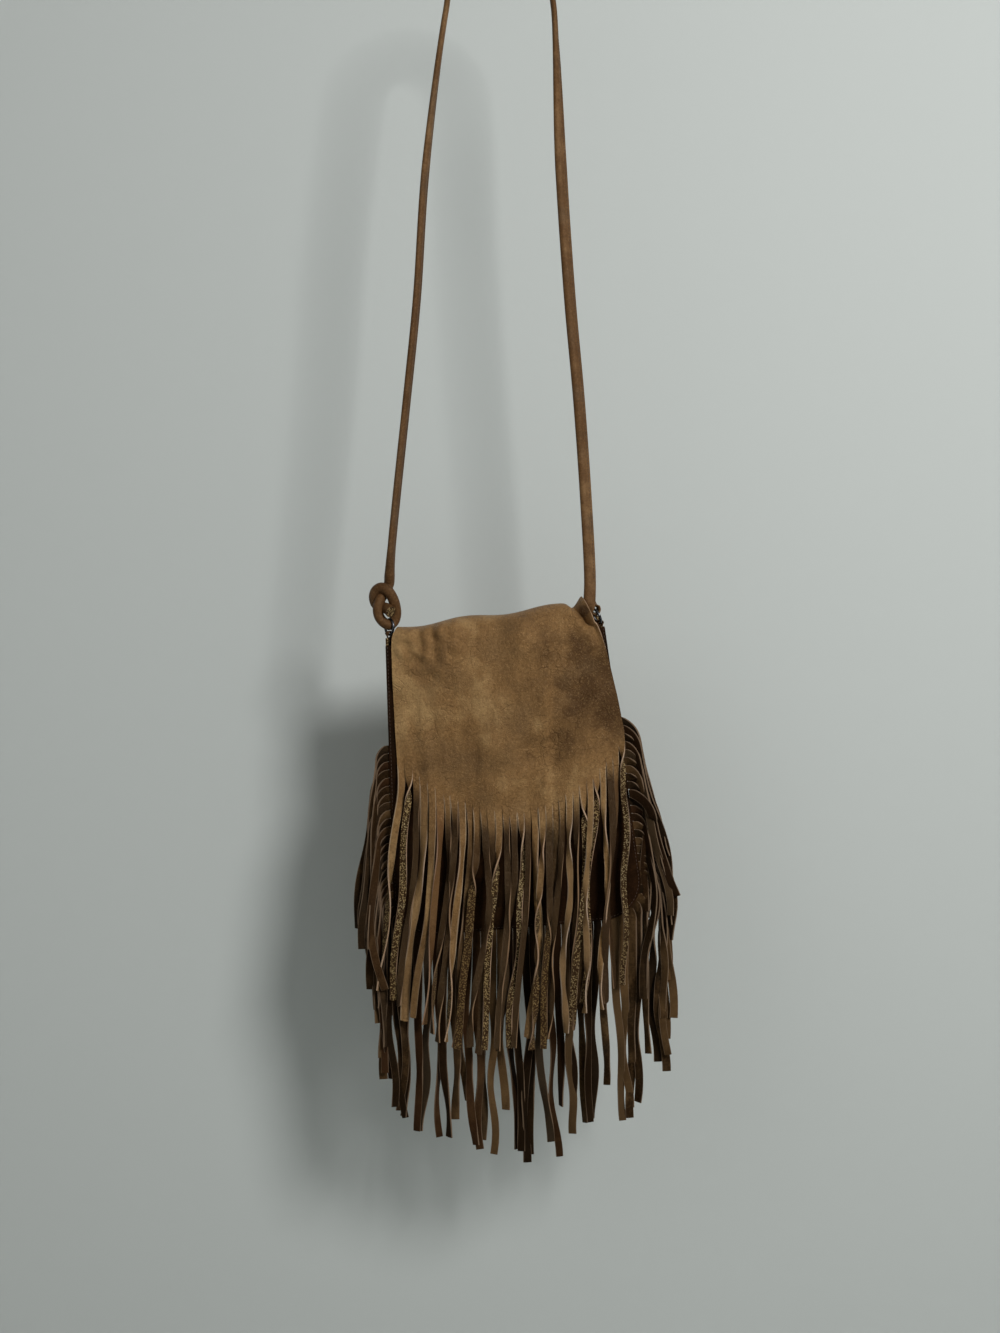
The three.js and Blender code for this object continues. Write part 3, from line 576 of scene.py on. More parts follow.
def flapStrip(i, top):
    n = hide["strips"]
    length = hide["length"] * (1 + hide["lengthSpread"] * (vary(i, 5) - 0.5))
    drift = lerp(hide["leftDrift"], hide["rightDrift"], i / (n - 1)) + hide["wander"] * (vary(i, 1) - 0.5)
    drift += hide["cornerDrift"] if i > n - 4 else 0
    swing = hide["wave"] * (vary(i, 2) - 0.5)
    twistEnd = hide["turnedTwist"] if vary(i, 3) < hide["turnedShare"] else hide["twist"]
    twistEnd *= vary(i, 4) - 0.5
    over = hide["turnedOver"].get(i)
    kinkLeast, kinkMore, *kinkSize = hide["kink"]
    kink = kinkLeast + kinkMore * vary(i, 22)
    swayHeight, *swaySize = hide["sway"]
    overLively, *livelySize = hide["lively"]
    tilt = hide["tiltSpread"] * (vary(i, 36) - 0.5)

    def direction(s):
        wobble = kink * waves(s, i, 23, *kinkSize) * smooth(s, 10, 70)
        return (bag["lean"] * (1 - smooth(s, 0, hide["bend"])) + drift * smooth(s, 0, length / 2)
                + swing * np.sin(s / length * 2 * math.pi) + wobble)

    def depth(s):
        forward = (hide["forward"] + hide["layer"] * (i % 3)) * smooth(s, 0, 0.3 * length)
        return -forward - swayHeight * waves(s, i, 25, *swaySize) * smooth(s, 15, 60)

    def turn(s):
        lively = waves(s, i, 27, *livelySize) * smooth(s, 8, 60)
        if over:
            return over[0] * math.pi * smooth(s, over[1], over[2]) + lively * overLively
        twisted = twistEnd * smooth(s, length / 20, length) + tilt * smooth(s, 4, 50)
        return twisted + lively * (0.3 + 0.7 * vary(i, 34))

    at, frameAt = hangPath(direction, depth, length)
    root = top.mean(0)
    heading = np.array([math.sin(bag["lean"]), 0, -math.cos(bag["lean"])])
    startAt = (top - root) @ heading
    share = np.arange(1, hide["stripRows"] + 1)[:, None] / hide["stripRows"]
    t = np.linspace(-0.5, 0.5, hide["columns"] + 1)[None, :]
    slanted = (vary(i, 35) - 0.5) * hide["tipSlant"] * t
    s = startAt[None, :] + (length + slanted - startAt[None, :]) * share
    fullWide = np.linalg.norm((top[-1] - top[0])[[0, 1]])
    slim = lerp(1.0, hide["share"] + hide["shareSpread"] * (vary(i, 29) - 0.5), smooth(s, 0, 30))
    wide = fullWide * slim * (1 + hide["widthWave"] * np.sin(s / 31 + 9 * vary(i, 30)))
    _, side, normal = frameAt(s, turn(np.maximum(s, 0)))
    curl = (vary(i, 31) - 0.35) * hide["curl"] * smooth(s, 10, 90)
    made = root + at(s) + side * (wide * t)[..., None] + normal * (curl * (0.25 - t**2) * 4)[..., None]
    # the top rows ease out of the flap's own surface
    plainSide = frameAt(startAt, np.zeros(len(startAt)))[1]
    plainTop = root + at(startAt) + plainSide * (fullWide * t[0])[:, None]
    made += (top - plainTop)[None] * (1 - smooth(s - startAt[None, :], 0, hide["easeLength"]))[..., None]
    tone = 0.5 + (1.0 * vary(i, 32) - 0.84) * smooth(s, 0, 55) - 0.14 * smooth(s, 90, 220)
    # the two outer columns of each strip are marked as cut edge, which the leather paints pale, partly as a
    # painted highlight
    cut = np.zeros(s.shape)
    for side, kind in ((0, 37), (-1, 38)):
        cut[:, side] = (0.55 + 0.9 * vary(i, kind)) * smooth(s[:, side], 2, 14)
    return made, tone, cut, np.broadcast_to(share, s.shape)


flapAndBack = makeHide()
print("flap and back made,", len(flapAndBack.data.polygons), "faces")


# the front of the pouch
frontPanel = {"rows": 36, "cornerRows": 12, "columns": 49, "pucker": 0.35, "puckerLength": 40, "inward": 0.2}


def makeFront():
    depths = panelDepths(bag["mouthDip"], frontPanel["rows"], frontPanel["cornerRows"])
    shares = np.linspace(-1, 1, frontPanel["columns"])
    rows = []
    for down in depths:
        soft = fullness(shares, down)
        spot = place(shares * halfWidth(down), frontY - bag["frontSwell"] * soft, down)
        pucker = frontPanel["pucker"] * ripples(spot[:, 0], spot[:, 2], frontPanel["puckerLength"], 13)
        spot[:, 1] -= (pucker - frontPanel["inward"]) * soft
        rows.append(spot)
    # the front's two faces are painted nearly black as shade; its cut edge is dark grain
    return newSheet("pouch_front", np.array(rows), [paintedShadeFront, paintedShadeFront, darkGrain], 0.5)


pouchFront = makeFront()


# the seam's path round the pouch
def seamPoints(leftTop, rightTop, spacing):
    left = panelDepths(leftTop, 40, 24)
    right = panelDepths(rightTop, 40, 24)[::-1]
    line = np.concatenate([np.stack([-halfWidth(left), left], -1), np.stack([halfWidth(right), right], -1)])
    reach = np.concatenate([[0], np.cumsum(np.linalg.norm(np.diff(line, axis=0), axis=1))])
    count = round(reach[-1] / spacing)
    s = np.linspace(0, reach[-1], count + 1)
    spots = np.stack([np.interp(s, reach, line[:, 0]), np.interp(s, reach, line[:, 1])], -1)
    along = unit(np.gradient(spots, axis=0))
    return spots, np.stack([-along[:, 1], along[:, 0]], -1)  # with the way out of the pouch at each spot


# the strip between front and back: how it sags between its two seams
gusset = {"step": 4, "sag": 1.4, "unevenSag": 0.9, "sagLength": 34, "sagFrom": (20, 60)}


def makeGusset():
    spots, ways = seamPoints(0, bag["rightEndDrop"], gusset["step"])
    half, web = bag["depth"] / 2 - bag["hide"] / 2, bag["seam"] - bag["hide"] / 2
    margin = np.array([[0, -half], [-1.3, -half], [-web + 0.6, -half + 0.1], [-web, -half + 0.8]])
    middle = np.array([[-web, half * share] for share in (-0.6, -0.3, 0, 0.3, 0.6)])
    section = np.concatenate([margin, middle, margin[::-1] * (1, -1)])
    along = np.arange(len(spots)) * float(gusset["step"])
    fromEnd = np.minimum(along, along[::-1])
    free = np.clip(1 - (section[:, 1] / half) ** 2, 0, 1)
    uneven = ripples(along[:, None], section[None, :, 1], gusset["sagLength"], 17)
    sag = gusset["sag"] + gusset["unevenSag"] * uneven
    out = section[None, :, 0] - smooth(fromEnd, *gusset["sagFrom"])[:, None] * free[None] * sag
    spot = spots[:, None, :] + ways[:, None, :] * out[..., None]
    grid = place(spot[..., 0], np.broadcast_to(section[:, 1], out.shape), spot[..., 1])[::-1]
    return newSheet("gusset_strip", grid, [darkGrain, flesh, rawEdge], 0.45)


gussetStrip = makeGusset()
print("pouch made")


# the fringe round the pouch's seam: a band in the seam, and strips grown along guide lines
fringe = {
    "pitch": 8, "length": 246, "shortest": 172, "layer": 3.6, "sideLayer": 2.6, "settling": 15,
    # on each side: how far down the seam it starts, what a strip keeps from the one above it, its bend
    "left": {"start": 106, "leaf": 1.1, "bend": 24}, "right": {"start": 98, "leaf": 0.35, "bend": 40},
    "plainBend": 15, "drift": 0.045, "wander": 0.07, "clump": 0.05, "wave": 0.13, "twist": 1.4,
    "spread": 0.12, "shortShare": 0.35, "shortCut": 0.14, "strayShare": 0.10, "stray": 0.05, "share": 0.9,
    "points": 46, "louvre": 0.1, "drop": 0.33, "corners": 10, "cup": 0.4,
    # how wide a strip is against its pitch: on the sides near the seam, lower down, at the tip, and how much
    # more at the two bottom corners
    "sideGirth": 1.32, "lowerGirth": 1.12, "tipGirth": (0.96, 0.26), "cornerGirth": 0.5,
    # waves of a strip: how high they are, their shortest length and by how much that may be more
    "kink": (0.04, 0.13, 70, 110), "ripple": (1.8, 90, 0), "lively": (0.45, 60, 70),
    # strips that arch over the others: bend, how far they turn edge-on, how far forward, slope, length
    "over": {73: (32, 0.5, 5, 0.13, 0.9), 71: (28, 0.6, 5, -0.10, 1.0), 70: (30, 0.6, 4, 0.07, 1.0),
             68: (26, 0.6, 6, -0.16, 1.0), 65: (40, 0.35, 8, 0.13, 0.72), 64: (36, 0.4, 6, 0.09, 0.8),
             66: (24, 0.7, 4, -0.13, 1.0), 62: (22, 0.6, 5, -0.18, 1.0), 60: (20, 0.6, 4, -0.12, 1.0),
             3: (30, 0.5, 5, -0.04, 1.0), 7: (34, 0.35, 7, 0.02, 0.9), 5: (26, 0.6, 4, 0.10, 1.0),
             10: (24, 0.6, 6, 0.10, 1.0), 13: (22, 0.6, 5, 0.12, 1.0)},
}


def pouchStrip(i, count, root, angle):
    fromEnd = min(i, count - 1 - i)
    side = math.copysign(1, angle)
    here = fringe["left"] if side < 0 else fringe["right"]
    sideStrips = (bag["height"] - bag["cornerRadius"] - here["start"]) / fringe["pitch"]
    below = max(0, sideStrips - fromEnd)
    sideways = min(1, abs(angle) / (math.pi / 2))
    edgeOn = side * math.pi / 2 * sideways
    leaf = side * math.asin(here["leaf"] / fringe["pitch"])
    longBend = here["bend"]
    plainBend = lerp(fringe["plainBend"], longBend, smooth(sideways, 0.6, 0.98))
    bend, edgeShare, forward, slope, lengthShare = fringe["over"].get(i, (plainBend, 1, 0, 0, 1))
    slant = (angle - side * math.pi / 2 + leaf) * min(1, below / 3)
    slantEnd = bend + below * fringe["pitch"]
    short = 1 - fringe["shortCut"] if vary(i, 10) < fringe["shortShare"] * (1 - sideways) else 1
    length = lerp(fringe["shortest"], fringe["length"], (fromEnd / (count / 2)) ** 1.6) * short
    length *= (1 - fringe["spread"] * vary(i, 9)) * lengthShare
    drift = slope + fringe["drift"] * (1 - i / count) + fringe["wander"] * (vary(i, 6) - 0.5)
    drift += side * fringe["stray"] if vary(i, 11) < fringe["strayShare"] else 0
    drift += fringe["clump"] * math.sin(i * 0.95 + 1.1 * math.sin(i * 0.37)) * (1 - 0.7 * sideways)
    swing = fringe["wave"] * (vary(i, 7) - 0.5) * (1 - sideways)
    loose = fringe["twist"] * (vary(i, 8) - 0.5) * (1 - 0.6 * sideways)
    layer = fringe["layer"] * ((i % 3) - 1) * (1 - sideways)
    layer += fringe["sideLayer"] * ((i * 3 % 5) - 2) * sideways
    kinkLeast, kinkMore, *kinkSize = fringe["kink"]
    kink = kinkLeast + kinkMore * vary(i, 41)
    rippleHeight, *rippleSize = fringe["ripple"]
    livelyTurn, *livelySize = fringe["lively"]

    def direction(s):
        bent = smooth(s, 0, bend)
        settled = smooth(s, slantEnd - fringe["settling"], slantEnd + fringe["settling"])
        sway = drift * smooth(s, 0.2 * length, 0.7 * length) + swing * np.sin(s / length * 2 * math.pi)
        wobble = kink * waves(s, i, 42, *kinkSize) * smooth(s, longBend, 110)
        start = angle * (1 - fringe["drop"] * smooth(s, 0, 6))
        return start * (1 - bent) + slant * bent * (1 - settled) + sway + wobble

    def depth(s):
        ripple = rippleHeight * waves(s, i, 43, *rippleSize) * smooth(s, longBend, 120)
        return layer * smooth(s, bend * sideways, 0.3 * length) + ripple - forward * smooth(s, 3, 30)

    def turn(s):
        # near the seam each strip tilts just enough to cover the gap to the next; below, it hangs loose
        apart = np.abs(np.cos(direction(s) - angle))
        covering = lerp(1.2, 1.04, smooth(sideways, 0.3, 0.8))
        tucked = np.arccos(np.clip(apart * covering, 0, 1)) * edgeShare + fringe["louvre"]
        shingled = side * tucked * smooth(s, 0, 5)
        free = edgeOn * (1.0 * vary(i, 48) - 0.25) + loose
        freed = smooth(s, longBend + 4 + 20 * vary(i, 49), longBend + 55 + 30 * vary(i, 49))
        lively = livelyTurn * waves(s, i, 45, *livelySize)
        return lerp(shingled, free, freed) + lively * smooth(s, 30, 110)

    at, frameAt = hangPath(direction, depth, length)
    s = length * np.linspace(0, 1, fringe["points"]) ** 1.25
    _, _, normal = frameAt(s, turn(s))
    tipLeast, tipMore = fringe["tipGirth"]
    full = lerp(1 / fringe["share"], fringe["sideGirth"], smooth(sideways, 0.75, 0.95) * smooth(s, 1, 6))
    girth = lerp(full, fringe["lowerGirth"], smooth(s, 25, 70))
    girth = lerp(girth, tipLeast + tipMore * vary(i, 50), smooth(s, 60, 180))
    corner = smooth(sideways, 0.1, 0.4) * (1 - smooth(sideways, 0.88, 0.96))
    girth = girth * (1 + fringe["cornerGirth"] * corner * (1 - smooth(s, 25, 90)))
    return root + at(s), normal, girth


def newTree(name, numbers, dress):
    # a Geometry Nodes tree with inputs for its sizes and for the material of what it makes
    tree = bpy.data.node_groups.new(name, "GeometryNodeTree")
    tree.interface.new_socket("Geometry", in_out="INPUT", socket_type="NodeSocketGeometry")
    for key, value in numbers.items():
        socket = tree.interface.new_socket(key, in_out="INPUT", socket_type="NodeSocketFloat")
        socket.default_value = value
    tree.interface.new_socket(dress, in_out="INPUT", socket_type="NodeSocketMaterial")
    tree.interface.new_socket("Geometry", in_out="OUTPUT", socket_type="NodeSocketGeometry")
    return tree, tree.nodes.new("NodeGroupInput").outputs


def finishTree(tree, made, material):
    # what the tree made becomes real, smooth and dressed
    real = add(tree, "GeometryNodeRealizeInstances", Geometry=made).outputs[0]
    soft = add(tree, "GeometryNodeSetShadeSmooth", Geometry=real).outputs[0]
    dressed = add(tree, "GeometryNodeSetMaterial", Geometry=soft, Material=material).outputs[0]
    add(tree, "NodeGroupOutput", Geometry=dressed)


def grow(piece, tree, values):
    # runs the tree on the piece's guide lines and keeps what it makes
    modifier = piece.modifiers.new("grown", "NODES")
    modifier.node_group = tree
    for item in tree.interface.items_tree:
        if item.item_type == "SOCKET" and item.in_out == "INPUT" and item.name in values:
            modifier[item.identifier] = values[item.name]
    return settle(piece)


def stripTree():
    # grows a flat strip along each guide line, which carries the strip's normal, tone, hue and girth
    sizes = {"Strip Width": 7.2 * mm, "Strip Thickness": 1.1 * mm, "Cup": fringe["cup"] * mm}
    tree, given = newTree("strips along guides", sizes, "Leather")

    def named(kind, key):
        return add(tree, "GeometryNodeInputNamedAttribute", {"data_type": kind}, Name=key).outputs[0]

    lines = add(tree, "GeometryNodeMeshToCurve", Mesh=given["Geometry"]).outputs[0]
    facing = add(tree, "GeometryNodeSetCurveNormal", {"mode": "FREE"}, Curve=lines,
                 Normal=named("FLOAT_VECTOR", "facing")).outputs[0]
    # the section: corners round a flat strip, cupped a little, which know which side is the grain's
    circle = add(tree, "GeometryNodeCurvePrimitiveCircle", Resolution=fringe["corners"]).outputs["Curve"]
    corner = add(tree, "GeometryNodeInputIndex").outputs[0]
    around = times(plus(corner, 0.5), 2 * math.pi / fringe["corners"])
    sideways, upwards = maths("COSINE", around), maths("SINE", around)
    acrossShare = times(maths("SIGN", sideways), maths("POWER", maths("ABSOLUTE", sideways), 0.55))
    across = times(times(acrossShare, 0.5), given["Strip Width"])
    up = times(times(maths("SIGN", upwards), 0.5), given["Strip Thickness"])
    cup = times(maths("SUBTRACT", 1.0, times(acrossShare, acrossShare)), given["Cup"])
    shape = add(tree, "ShaderNodeCombineXYZ", X=plus(up, cup), Y=across).outputs[0]
    bent = add(tree, "GeometryNodeSetPosition", Geometry=circle, Position=shape).outputs[0]
    # the corners at each edge get the pale edge colour, which is partly a painted highlight
    nearEdge = times(maths("GREATER_THAN", maths("ABSOLUTE", acrossShare), 0.9), 0.17)
    grainShare = times(maths("SIGN", upwards), maths("SUBTRACT", 0.5, nearEdge))
    sided = add(tree, "GeometryNodeStoreNamedAttribute", {"data_type": "FLOAT"}, Geometry=bent,
                Name="grainSide", Value=plus(0.5, grainShare)).outputs[0]
    grown = add(tree, "GeometryNodeCurveToMesh", Curve=facing, Profile_Curve=sided,
                Scale=named("FLOAT", "girth"), Fill_Caps=True).outputs[0]
    finishTree(tree, grown, given["Leather"])
    return tree


def fringeLeather(name, look):
    # the fringe's leather: grain on one side, flesh on the other and pale cut edges between them; the edges'
    # pale colour is the raw leather's, brightened as a painted highlight where light catches them
    material = leather(name, look)
    tree = material.node_tree
    shader = next(node for node in tree.nodes if node.type == "BSDF_PRINCIPLED")
    colour = shader.inputs["Base Color"].links[0].from_socket
    where = add(tree, "ShaderNodeTexCoord").outputs["Object"]
    side = carried(tree, "grainSide")
    nap = spread(cloud(where, 2.4, 4, 0.75), 0.42, 0.62)
    fleshColour = mixColour(nap, look["fleshDark"], look["flesh"])
    colour = mixColour(spread(side, 0.45, 0.55), fleshColour, colour)
    middle = maths("ABSOLUTE", maths("SUBTRACT", side, 0.5))
    # the pale cut edge: raw leather colour, partly a painted highlight
    colour = mixColour(spread(middle, 0.3, 0.46, 0.6, 0.0), colour, look["edge"])
    feed(shader.inputs["Base Color"], colour)
    return material


fringeSuede = fringeLeather("fringe_leather", {
    "dark": (0.0055, 0.0024, 0.0008), "mid": (0.022, 0.0105, 0.0035), "light": (0.110, 0.062, 0.026),
    "greyish": (0.030, 0.021, 0.013), "reddish": (0.034, 0.013, 0.005), "specular": 0.08, "blotch": 60,
    "rough": 0.7, "grey": 0.4, "flesh": (0.095, 0.062, 0.034), "fleshDark": (0.024, 0.013, 0.006),
    "edge": (0.230, 0.155, 0.100)})


def makeFringe():
    spots, ways = seamPoints(fringe["left"]["start"], fringe["right"]["start"], fringe["pitch"])
    edge = place(spots[:, 0], bandY, spots[:, 1])
    count, each = len(spots) - 1, fringe["points"]
    lines, lists = [], {"facing": [], "tone": [], "hue": [], "girth": []}
    for i in range(count):
        along = edge[i + 1] - edge[i]
        root, angle = (edge[i] + edge[i + 1]) / 2, math.atan2(along[2], along[0])
        line, normal, girth = pouchStrip(i, count, root, angle)
        outer = abs(2 * i / count - 1)
        lines.append(line)
        lists["facing"].append(normal)
        lists["tone"].append(np.full(each, 0.04 + 0.82 * vary(i, 47) ** 1.9 + 0.2 * outer))
        lists["hue"].append(np.full(each, 2 * vary(i, 51) - 1))
        lists["girth"].append(girth)
    piece = newLines("pouch_fringe_strips", lines, joined(lists))
    grow(piece, stripTree(), {"Strip Width": fringe["pitch"] * fringe["share"] * mm,
                              "Strip Thickness": bag["fringeHide"] * mm, "Leather": fringeSuede})
    inner = spots - ways * bag["seam"]
    band = np.array([place(inner[:, 0], bandY, inner[:, 1]), place(spots[:, 0], bandY, spots[:, 1])])
    bandPiece = newPiece("pouch_fringe_band", band.reshape(-1, 3), gridFaces(2, len(spots)), [fringeSuede],
                         {"tone": np.full(2 * len(spots), 0.4), "grainSide": np.ones(2 * len(spots))})
    thicken(bandPiece, bag["fringeHide"])
    return piece, bandPiece


fringeStrips, fringeBand = makeFringe()
print("pouch fringe made,", len(fringeStrips.data.polygons), "faces")


# rings, tabs and strap
hardware = {"ringRadius": 7.7, "wireRadius": 1.3, "around": 56, "across": 16, "tabWidth": 6.4, "tabLeg": 15}
leftSeat = {"side": -1, "drop": 0, "lift": 3.6, "turn": -35, "pull": 0}
rightSeat = {"side": 1, "drop": bag["rightEndDrop"], "lift": 3.4, "turn": 20, "pull": -25}
webAcross = bag["mouthWidth"] / 2 - bag["seam"] + bag["hide"] / 2
webSlope = math.atan2((bag["bottomWidth"] - bag["mouthWidth"]) / 2, bag["height"])
upZ = np.array([0, 0, 1.0])
backwards = np.array([0, 1.0, 0])


def ringFrame(seat):
    # the spot the ring stands on, the way up it, the way its wire runs there and the way through it
    face, over = math.radians(seat["turn"]), math.radians(seat["pull"])
    wire = np.array([-seat["side"] * math.sin(face), math.cos(face), 0])
    through = np.array([seat["side"] * math.cos(face), math.sin(face), 0])
    upward = through * math.sin(over) + upZ * math.cos(over)
    return place(seat["side"] * webAcross, 0.0, seat["drop"] - seat["lift"]), upward, wire, through


def makeRing(name, seat):
    foot, upward, wire, _ = ringFrame(seat)
    middle = foot + upward * hardware["ringRadius"]
    axis = np.cross(wire, upward)
    around, across = hardware["around"], hardware["across"]
    a = np.arange(around)[:, None] / around * 2 * math.pi
    b = np.arange(across)[None, :] / across * 2 * math.pi
    radial = wire * np.cos(a)[..., None] + upward * np.sin(a)[..., None]
    reach = hardware["ringRadius"] + hardware["wireRadius"] * np.cos(b)
    points = middle + radial * reach[..., None] + axis * (hardware["wireRadius"] * np.sin(b))[..., None]
    return newPiece(name, points.reshape(-1, 3), gridFaces(around, across, True, True), [gunmetal])


def foldRadius(width, thickness):
    # how far from the wire's middle a strip of this size lies, when it is folded over the ring
    rise = hardware["ringRadius"] - math.sqrt(hardware["ringRadius"] ** 2 - (width / 2) ** 2)
    return hardware["wireRadius"] + rise + bag["gap"] + thickness / 2


def throughPoints(points, count):
    # a centripetal spline through the points, with count steps between each two
    def between(a, b, atA, atB, t):
        return (atB - t) / (atB - atA) * a + (t - atA) / (atB - atA) * b

    p = np.asarray(points, float)
    p = np.concatenate([[2 * p[0] - p[1]], p, [2 * p[-1] - p[-2]]])
    made = []
    for n in range(1, len(p) - 2):
        near, at = p[n - 1:n + 3], [0.0]
        for k in range(3):
            at.append(at[-1] + max(np.linalg.norm(near[k + 1] - near[k]), 1e-4) ** 0.5)
        for t in np.linspace(at[1], at[2], count, endpoint=False):
            first = [between(near[k], near[k + 1], at[k], at[k + 1], t) for k in range(3)]
            second = [between(first[k], first[k + 1], at[k], at[k + 2], t) for k in range(2)]
            made.append(between(*second, at[1], at[2], t))
    made.append(p[-2])
    return np.array(made)


def sweep(name, line, wide, thick, section, materials, tone, capMaterial=0):
    # carries a closed section along a line; section gives its corners for each station
    rings = line[:, None, :] + wide[:, None, :] * section[..., 0:1] + thick[:, None, :] * section[..., 1:2]
    rows, columns = rings.shape[:2]
    points = rings.reshape(-1, 3)
    faces = gridFaces(rows, columns, closed=True)
    ends = [points[:columns].mean(0), points[-columns:].mean(0)]
    first, last = len(points), len(points) + 1
    points = np.concatenate([points, ends])
    capStart = len(faces)
    faces += [(first, c, (c + 1) % columns) for c in range(columns)]
    base = (rows - 1) * columns
    faces += [(last, base + (c + 1) % columns, base + c) for c in range(columns)]
    piece = newPiece(name, points, faces, materials, {"tone": np.full(len(points), tone)})
    for face in piece.data.polygons[capStart:]:
        face.material_index = capMaterial
        face.use_smooth = False
    return piece


def flatSection(width, thickness, rows):
    # a flat strip's section with rounded corners
    a = (np.arange(16) + 0.5) / 16 * 2 * math.pi
    across = np.sign(np.cos(a)) * np.abs(np.cos(a)) ** 0.35 * width / 2
    up = np.sign(np.sin(a)) * np.abs(np.sin(a)) ** 0.55 * thickness / 2
    return np.broadcast_to(np.stack([across, up], -1), (rows, 16, 2))


def makeTab(name, seat):
    foot, _, wire, through = ringFrame(seat)
    route, wides = [], []

    def leg(k, out):
        down = seat["drop"] + k / 3 * hardware["tabLeg"]
        across = webAcross + math.tan(webSlope) * down + out * (bag["hide"] + bag["gap"])
        route.append(place(seat["side"] * across, 0.0, down))
        wides.append(backwards)

    fold = foldRadius(hardware["tabWidth"], bag["hide"])
    for k in (3, 2, 1, 0):
        leg(k, 1)
    for k in range(7):
        around = k / 6 * math.pi
        route.append(foot + through * fold * math.cos(around) + upZ * fold * math.sin(around))
        wides.append(wire)
    for k in (0, 1, 2, 3):
        leg(k, -1)
    line = throughPoints(route, 6)
    wide = np.repeat(np.array(wides), 6, axis=0)[:len(line)]
    soft = wide.copy()
    for _ in range(6):
        soft[1:-1] = (soft[:-2] + soft[1:-1] * 2 + soft[2:]) / 4
    heading = unit(np.gradient(line, axis=0))
    wide = unit(soft - heading * np.sum(soft * heading, -1, keepdims=True))
    thick = np.cross(heading, wide)
    return sweep(name, line, wide, thick, flatSection(hardware["tabWidth"], bag["hide"], len(line)),
                 [darkGrain, rawEdge], 0.4, 1)


leftRing = makeRing("left_ring_wire", leftSeat)
rightRing = makeRing("right_ring_wire", rightSeat)
leftTab = makeTab("left_tab_loop", leftSeat)
rightTab = makeTab("right_tab_loop", rightSeat)

# every station of the knot is measured from the middle of the left ring
strap = {
    "width": 12, "thickness": 6, "knotWidth": 11.2, "knotThickness": 10.2,
    "cutEnd": [(11.8, 10.4), (11.4, 10.3), (11.2, 10.2)], "crestRadius": 54, "stepsPerStation": 14,
    "sewnEndWidth": 10.4, "sewnEndThickness": 3, "sewnEndLength": 24,
    # shares of the width that are the roll and the sewn edge's rounded rim, and half the edge's thickness
    "roll": 0.36, "rim": 0.14, "flange": 0.24,
    "knot": [(2.2, -10.5, 14.5), (-1.2, -5.5, 17.5), (-5.2, 2, 19.2), (-9.8, 6.8, 20), (-13.8, 6.4, 23.6),
             (-15.2, 3, 30.5), (-13, 0, 36), (-8, -3.2, 38.8), (-2.4, -4.8, 37), (2, -4, 31.5),
             (5.4, -1.8, 23), (6.4, 1.5, 13), (4.2, 2.5, 5.8), (0, 0, 2), (-5.6, -2.4, 4.6),
             (-10, -3.2, 10.5), (-11.2, -3.8, 18.3), (-9, -1.6, 27), (-4.8, 3.2, 34.8), (-0.9, 5.4, 43),
             (0.1, 2, 52)],
    "leftRun": [(108, 586), (103, 535), (93, 440), (83, 340), (74, 207)],
    "rightRun": [(61, 207), (70, 340), (79, 440), (86, 540), (90, 620)],
}


def strapStations():
    # each station: its point, the way its width faces or None, its width and thickness
    made = []
    knotMiddle = ringFrame(leftSeat)[0] + upZ * hardware["ringRadius"]
    for n, step in enumerate(strap["knot"]):
        atCut = n < len(strap["cutEnd"])
        size = strap["cutEnd"][n] if atCut else (strap["knotWidth"], strap["knotThickness"])
        made.append((knotMiddle + np.array(step), None, *size))
    full = (strap["width"], strap["thickness"])
    for out, down in strap["leftRun"]:
        made.append((np.array([-out, 0, -down]), (0.5, 0.86, 0), *full))
    radius = strap["crestRadius"]
    for k in range(9):
        around = math.pi - k / 8 * math.pi
        up = strap["thickness"] / 2 - radius + radius * math.sin(around)
        made.append((np.array([radius * math.cos(around), 0, up]), (0, 1, 0), *full))
    for out, down in strap["rightRun"]:
        made.append((np.array([out, 0, -down]), (1, 0.15, 0), *full))
    foot, upward, wire, _ = ringFrame(rightSeat)
    top = foot + upward * 2 * hardware["ringRadius"]
    out = unit(np.cross(wire, upward))
    loop = foldRadius(strap["sewnEndWidth"], strap["sewnEndThickness"])
    thin = (strap["sewnEndWidth"], strap["sewnEndThickness"])

    def overWire(sideways, rise):
        made.append((top + out * sideways + upward * rise, wire, *thin))

    face = (1, 0.15, 0)
    made.append((top - out * 2 + upward * 7 - backwards * 2.5, face, 12.4, 5.2))
    for k in range(7):
        around = math.pi + k / 6 * math.pi
        overWire(loop * math.cos(around), loop * math.sin(around))
    made.append((top + out * 1.5 + upward * 8 + backwards * 4.5, face, 9, strap["sewnEndThickness"]))
    behind = strap["thickness"] / 2 + 2 * bag["gap"] + strap["sewnEndThickness"] / 2
    end = np.array([strap["rightRun"][-1][0], behind, top[2] + strap["sewnEndLength"]])
    made.append((end, face, *thin))
    return made


def turnAbout(v, axis, angle):
    c, s = math.cos(angle), math.sin(angle)
    return v * c + np.cross(axis, v) * s + axis * np.dot(axis, v) * (1 - c)


def strapSection(width, thickness, rolled):
    # rolled is 1 on the runs, where a round roll has a flat sewn edge beside it, and 0 where it is one roll
    n = 28
    a = (np.arange(n) + 0.5) / n * 2 * math.pi
    x, plainY = np.cos(a) * width / 2, np.sin(a) * thickness / 2
    roll = width * strap["roll"]  # radius of the roll, which lies to the left of the sewn edge
    centre = -width / 2 + roll
    inRoll = np.sqrt(np.clip(1 - ((x - centre) / roll) ** 2, 0, 1)) * thickness / 2
    toRim = np.clip((x - roll) / (width * strap["rim"]), 0, 1)
    flange = thickness * strap["flange"] * np.sqrt(np.clip(1 - toRim**2, 0, 1))
    tall = np.maximum(inRoll, np.where(x > centre, flange, 0))
    rolledY = np.sign(np.sin(a)) * tall
    return np.stack([x, lerp(plainY, rolledY, rolled)], -1)


